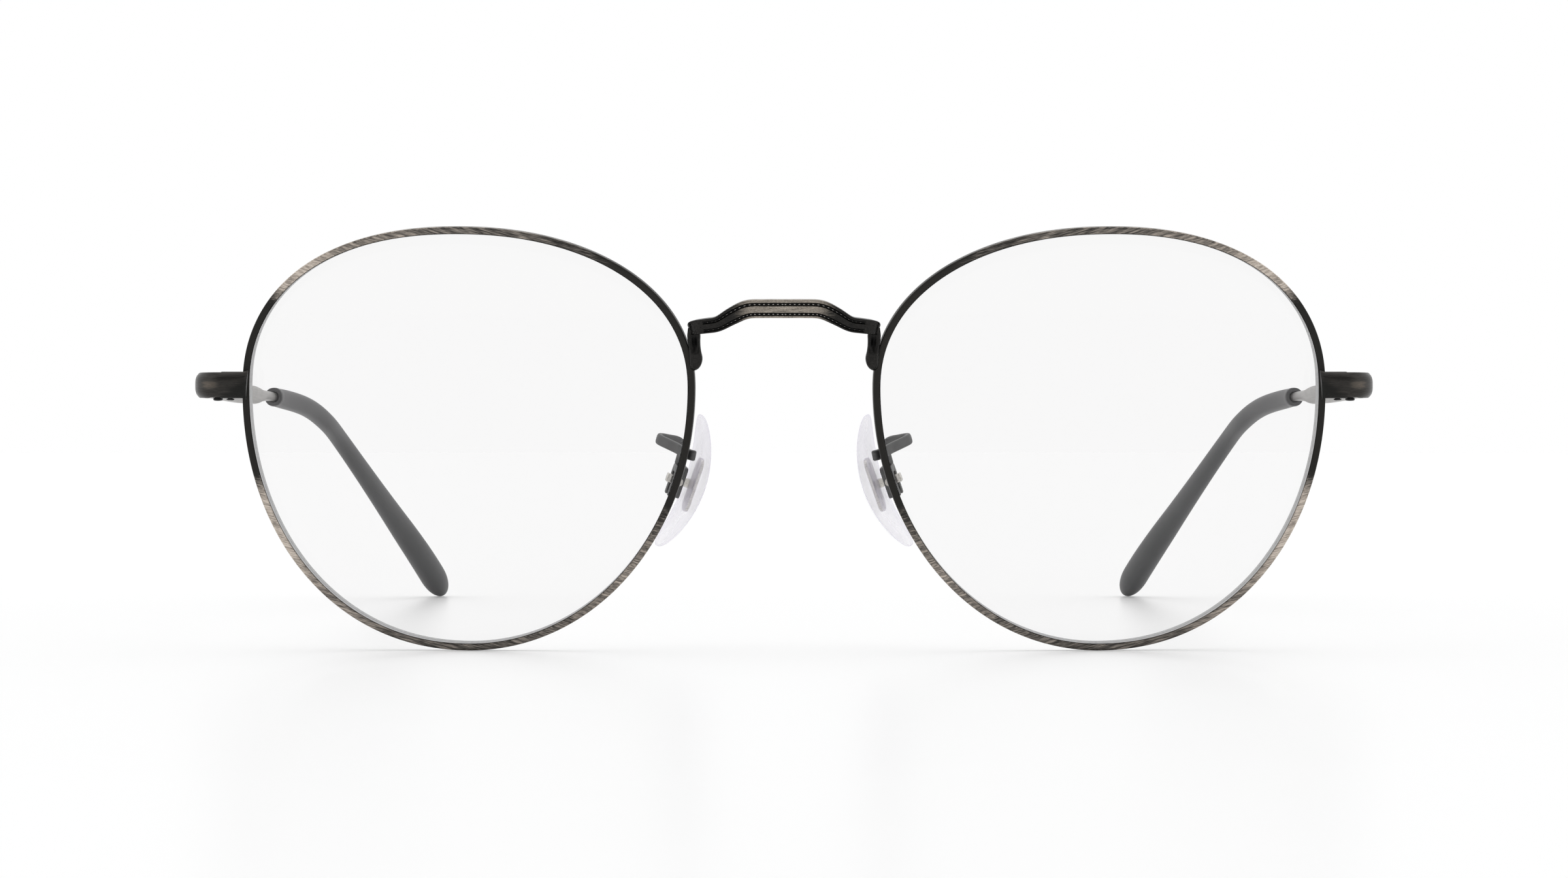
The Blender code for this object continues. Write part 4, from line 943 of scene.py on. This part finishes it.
def tip_mesh():
    """The plastic tip: an open bore at its mouth, an eased lip, and a rounded flattened end."""
    line, shares = temple_line()

    def place_at(share):
        return np.array([np.interp(share, shares, column) for column in line.T])

    def ring_at(share, width, height):
        run = place_at(min(1, share + 0.002)) - place_at(share - 0.002)
        forward = run / np.linalg.norm(run)
        up = np.array((0, 0, 1.0)) - forward[2] * forward
        up /= np.linalg.norm(up)
        points = superellipse(width, height, 2.15, 44)
        return place_at(share) + points[:, :1] * np.cross(forward, up) + points[:, 1:] * up

    rings = []
    for share in np.linspace(TIP_BORE_END, TIP_MOUTH + 0.001, 30):
        width, height = table_at(TEMPLE_SECTIONS, share)[:2]
        rings.append(ring_at(share, width + TIP_BORE_SPARE, height + TIP_BORE_SPARE))
    width, height = TIP_SECTIONS[0][1:]
    rings.append(ring_at(TIP_MOUTH, width * 0.62, height * 0.62))
    for grow, shift in TIP_LIP:
        rings.append(ring_at(TIP_MOUTH + shift, width * grow, height * grow))
    for share in np.linspace(TIP_MOUTH + 0.0065, TIP_ROUND_START, 130):
        rings.append(ring_at(share, *table_at(TIP_SECTIONS, share, 0.015, 7)))
    width, height = table_at(TIP_SECTIONS, TIP_ROUND_START)
    for angle in np.radians(np.linspace(6, 84, 14)):
        share = TIP_ROUND_START + (1 - TIP_ROUND_START) * math.sin(angle)
        shrink = math.cos(angle) ** 0.9
        rings.append(ring_at(share, width * shrink, height * shrink))
    return mesh_of("tip", skin(rings, last=line[-1]))


def add_temple(side, looks):
    local, body = Matrix(), f"{side}_temple"
    add_piece(side, "satin", "temple", temple_mesh(), local, body, "temple_metal", looks["temple"])
    add_piece(side, "moulded", "temple_tip", tip_mesh(), local, body, "tip_plastic", looks["tip"])


# --- Nose pads ---
ARM_LINE = (  # out, back, up
    (9.95, 0.4, -2.0), (10.6, 0.48, -1.86), (11.35, 1.02, -1.6),
    (12.2, 1.8, -1.25), (13.2, 2.5, -0.88), (14.12, 3.4, -0.55),
    (14.1, 4.4, -0.52), (13.1, 5.3, -0.82), (12.15, 6.1, -1.15),
    (11.72, 6.78, -1.75), (11.74, 7.18, -2.7), (12.08, 7.33, -3.95),
)
BOX_THICKNESS, BOX_WIDTH, BOX_TOP, BOX_FOOT = 1.4, 2.1, 1.75, 1.95
BOX_SLOT, BOX_SLOT_TOP = 1.0, 0.85
TAB_WIDTH, TAB_HEIGHT, TAB_REACH = 0.8, 0.95, 1.25
PAD_SHAFT = 0.22
PLATE_OFFSET, PLATE_THICKNESS, PLATE_WIDTH, PLATE_LENGTH = 2.0, 0.35, 2.6, 6.4
PLATE_CORNER, PLATE_HOLE, PLATE_HOLE_UP = 1.2, 0.55, 2.1
POCKET_SPARE = 0.02
PAD_OFFSET, PAD_BOW, PAD_THICKNESS, PAD_WIDTH, PAD_LENGTH, PAD_TAPER = 2.2, 1.9, 1.7, 7.4, 16.0, 0.15


def arm_mesh():
    line = smooth_line(ARM_LINE, 0.08, 0.45)
    count = len(line)

    def section(index):
        ends = min(index, count - 1 - index) * 0.08
        ease = 1 - 0.22 * max(0.0, 1 - ends / 0.2) ** 2
        return superellipse(0.65 * ease, 1.2 * ease, 3.2, 32)

    return mesh_of("arm", skin(swept(line, section, carried=True)))


def standing_plate(outline, middle, half):
    """An outline drawn in Y and Z, raised to both sides of a middle in X."""
    mesh = mesh_of("plate", plate(outline, middle - half, middle + half))
    mesh.transform(STANDING)
    return outwards(mesh)


def box_mesh():
    """A fork that straddles the pad's tab, open below, with round cheeks about the screw."""
    wide, slot = BOX_WIDTH / 2, BOX_SLOT / 2
    foot, top = -BOX_FOOT, BOX_SLOT_TOP
    corners = [(-wide, foot, 0.4), (-slot, foot, 0.12), (-slot, top, 0.2), (slot, top, 0.2)]
    corners += [(slot, foot, 0.12), (wide, foot, 0.4), (wide, BOX_TOP, 0.55), (-wide, BOX_TOP, 0.55)]
    return eased(standing_plate(rounded(corners, 5), 0, BOX_THICKNESS / 2), 0.12)


def insert_plate(spare=0.0):
    wide, tall = PLATE_WIDTH / 2 + spare, PLATE_LENGTH / 2 + spare
    outline = rounded([(x * wide, y * tall, PLATE_CORNER) for x, y in CORNERS], 6)
    return standing_plate(outline, -PLATE_OFFSET, PLATE_THICKNESS / 2 + spare)


def insert_tab(spare=0.0):
    wide, tall = TAB_WIDTH / 2 + spare, TAB_HEIGHT / 2 + spare
    return block((-PLATE_OFFSET, -wide, -tall), (TAB_REACH, wide, tall))


def insert_mesh():
    """The metal insert: a rounded plate inside the silicone, and the tab that the screw goes through."""
    mesh = insert_plate()
    for up in (-PLATE_HOLE_UP, PLATE_HOLE_UP):
        hole = drill(PLATE_HOLE, 2)
        across = Matrix.Rotation(math.radians(90), 4, "Y")
        hole.transform(Matrix.Translation((-PLATE_OFFSET, 0, up)) @ across)
        mesh = combined(mesh, hole, "DIFFERENCE")
    mesh = combined(mesh, insert_tab(), "UNION")
    bore = drill(PAD_SHAFT + GAP, 2)
    bore.transform(Matrix.Rotation(math.radians(90), 4, "X"))
    return eased(combined(mesh, bore, "DIFFERENCE"), 0.07, 2)


def pad_mesh():
    """The silicone pad: a thin drop bowed towards the nose, with a pocket round the insert."""
    rings = []
    for angle in np.radians(np.linspace(-86, 86, 60)):
        up, fullness = math.sin(angle), math.cos(angle)
        wide = PAD_WIDTH * (1 + PAD_TAPER * up) * fullness**0.8
        thick = PAD_THICKNESS * fullness**0.6
        middle = np.array((PAD_BOW * up**2 - PAD_OFFSET, 0, PAD_LENGTH / 2 * up))
        rings.append([middle + (x, y, 0) for x, y in superellipse(thick, wide, 2.3, 48)])
    foot, head = ((PAD_BOW - PAD_OFFSET, 0, end * PAD_LENGTH / 2) for end in (-1, 1))
    mesh = mesh_of("pad", skin(rings, foot, head))
    mesh = combined(mesh, insert_plate(POCKET_SPARE), "DIFFERENCE")
    return combined(mesh, insert_tab(POCKET_SPARE), "DIFFERENCE")


def add_nose_pad(side, looks):
    body, arm, steel = f"{side}_pad", looks["arm"], looks["steel"]
    add_piece(side, "bent", "pad_arm", arm_mesh(), TILTED, "front", "dark_metal", arm)
    add_piece(side, "forked", "pad_box", box_mesh(), AT_PAD, "front", "dark_metal", arm)
    mesh = slotted_screw((PAD_SHAFT, 2.1), (0.5, 0.3), (0.14, 0.16))
    seat = Matrix.Rotation(math.radians(-90), 4, "X") @ Matrix.Translation((0, 0, -BOX_WIDTH / 2 - GAP))
    mesh.transform(seat)
    add_piece(side, "slotted", "pad_screw", mesh, AT_PAD, "front", "steel", steel)
    add_piece(side, "pressed", "pad_insert", insert_mesh(), AT_PAD, body, "steel", steel)
    finish = looks["silicone"]
    add_piece(side, "clear", "nose_pad", pad_mesh(), AT_PAD, body, "pad_silicone", finish, sharp=60)


# --- Stage ---
FLOOR_LIFT = 0.052  # light of its own, so that it comes out as pale as the photo's ground
FLOOR_HALF, CAMERA_DISTANCE, CAMERA_LENS = 6.0, 0.4, 81.6
SUNS = (  # name, width of the sun and its turn from overhead in degrees, strength
    ("overhead", 50, (-12, 0, 0), 0.35),
    ("left", 60, (0, -68, 0), 0.22),
    ("right", 60, (0, 68, 0), 0.22),
)


def add_camera():
    camera = shown("camera", bpy.data.cameras.new("camera"))
    camera.data.lens = CAMERA_LENS
    camera.data.sensor_width = 36
    camera.data.clip_start = 0.01
    camera.location = (0, DATUM.y - CAMERA_DISTANCE, DATUM.z)
    camera.rotation_euler = (math.radians(90), 0, 0)
    bpy.context.scene.camera = camera


def add_floor():
    corners = [(x * FLOOR_HALF, y * FLOOR_HALF, 0) for x, y in CORNERS]
    mesh = bpy.data.meshes.new("table")
    mesh.from_pydata(corners, [], [(0, 1, 2, 3)])
    mesh.materials.append(floor_finish().material)
    shown("table", mesh)


def add_light():
    """White surroundings that are dimmer above the camera, a broad light overhead and one at each side."""
    world = bpy.data.worlds.new("studio")
    bpy.context.scene.world = world
    world.use_nodes = True
    n = Nodes(world.node_tree)
    towards = n.node("SeparateXYZ", {0: n.node("TexCoord").outputs["Generated"]}).outputs
    front, raised = n.span(towards[1], -0.85, -0.25, 1.0, 0.0), n.span(towards[2], 0.06, 0.3)
    shade = n.span(n.math("MULTIPLY", front, raised), 0.0, 1.0, 1.0, 0.45)
    n.put(world.node_tree.nodes["Background"].inputs["Color"], shade)
    for name, width, turn, strength in SUNS:
        light = bpy.data.lights.new(name, "SUN")
        light.angle = math.radians(width)
        light.energy = strength
        shown(name, light).rotation_euler = [math.radians(angle) for angle in turn]
    bpy.context.scene.view_settings.view_transform = "Standard"


# --- Assembly ---
def main():
    add_camera()
    add_floor()
    add_light()
    looks = {
        "rim": rim_finish(),
        "bridge": bridge_finish(),
        "endpiece": endpiece_finish(),
        "black": plated_finish("black_satin_plating", DEEP, (0.045, 0.045, 0.043), 0.4),
        "screw": plated_finish("black_screw_plating", DEEP, (0.03, 0.03, 0.03), 0.34),
        "arm": plated_finish("grey_arm_plating", (0.085, 0.085, 0.085), (0.125, 0.125, 0.124), 0.42),
        "steel": plated_finish("machined_steel", (0.42, 0.4, 0.375), (0.7, 0.68, 0.64), 0.28),
        "temple": temple_finish(),
        "tip": tip_finish(),
        "silicone": silicone_finish(),
        "lens": lens_finish(),
        "lens_edge": lens_edge_finish(),
    }
    add_bridge(looks["bridge"])
    for side in SIDES:
        mesh, values = rim_mesh()
        add_piece(side, "antique", "rim", mesh, EYE, "front", "rim_metal", looks["rim"], values=values)
        faces, edge = looks["lens"], looks["lens_edge"]
        add_piece(side, "clear", "lens", lens_mesh(), EYE, "front", "lens", faces, edge)
        add_endpiece(side, looks)
        add_hinge(side, looks)
        add_temple(side, looks)
        add_nose_pad(side, looks)


main()
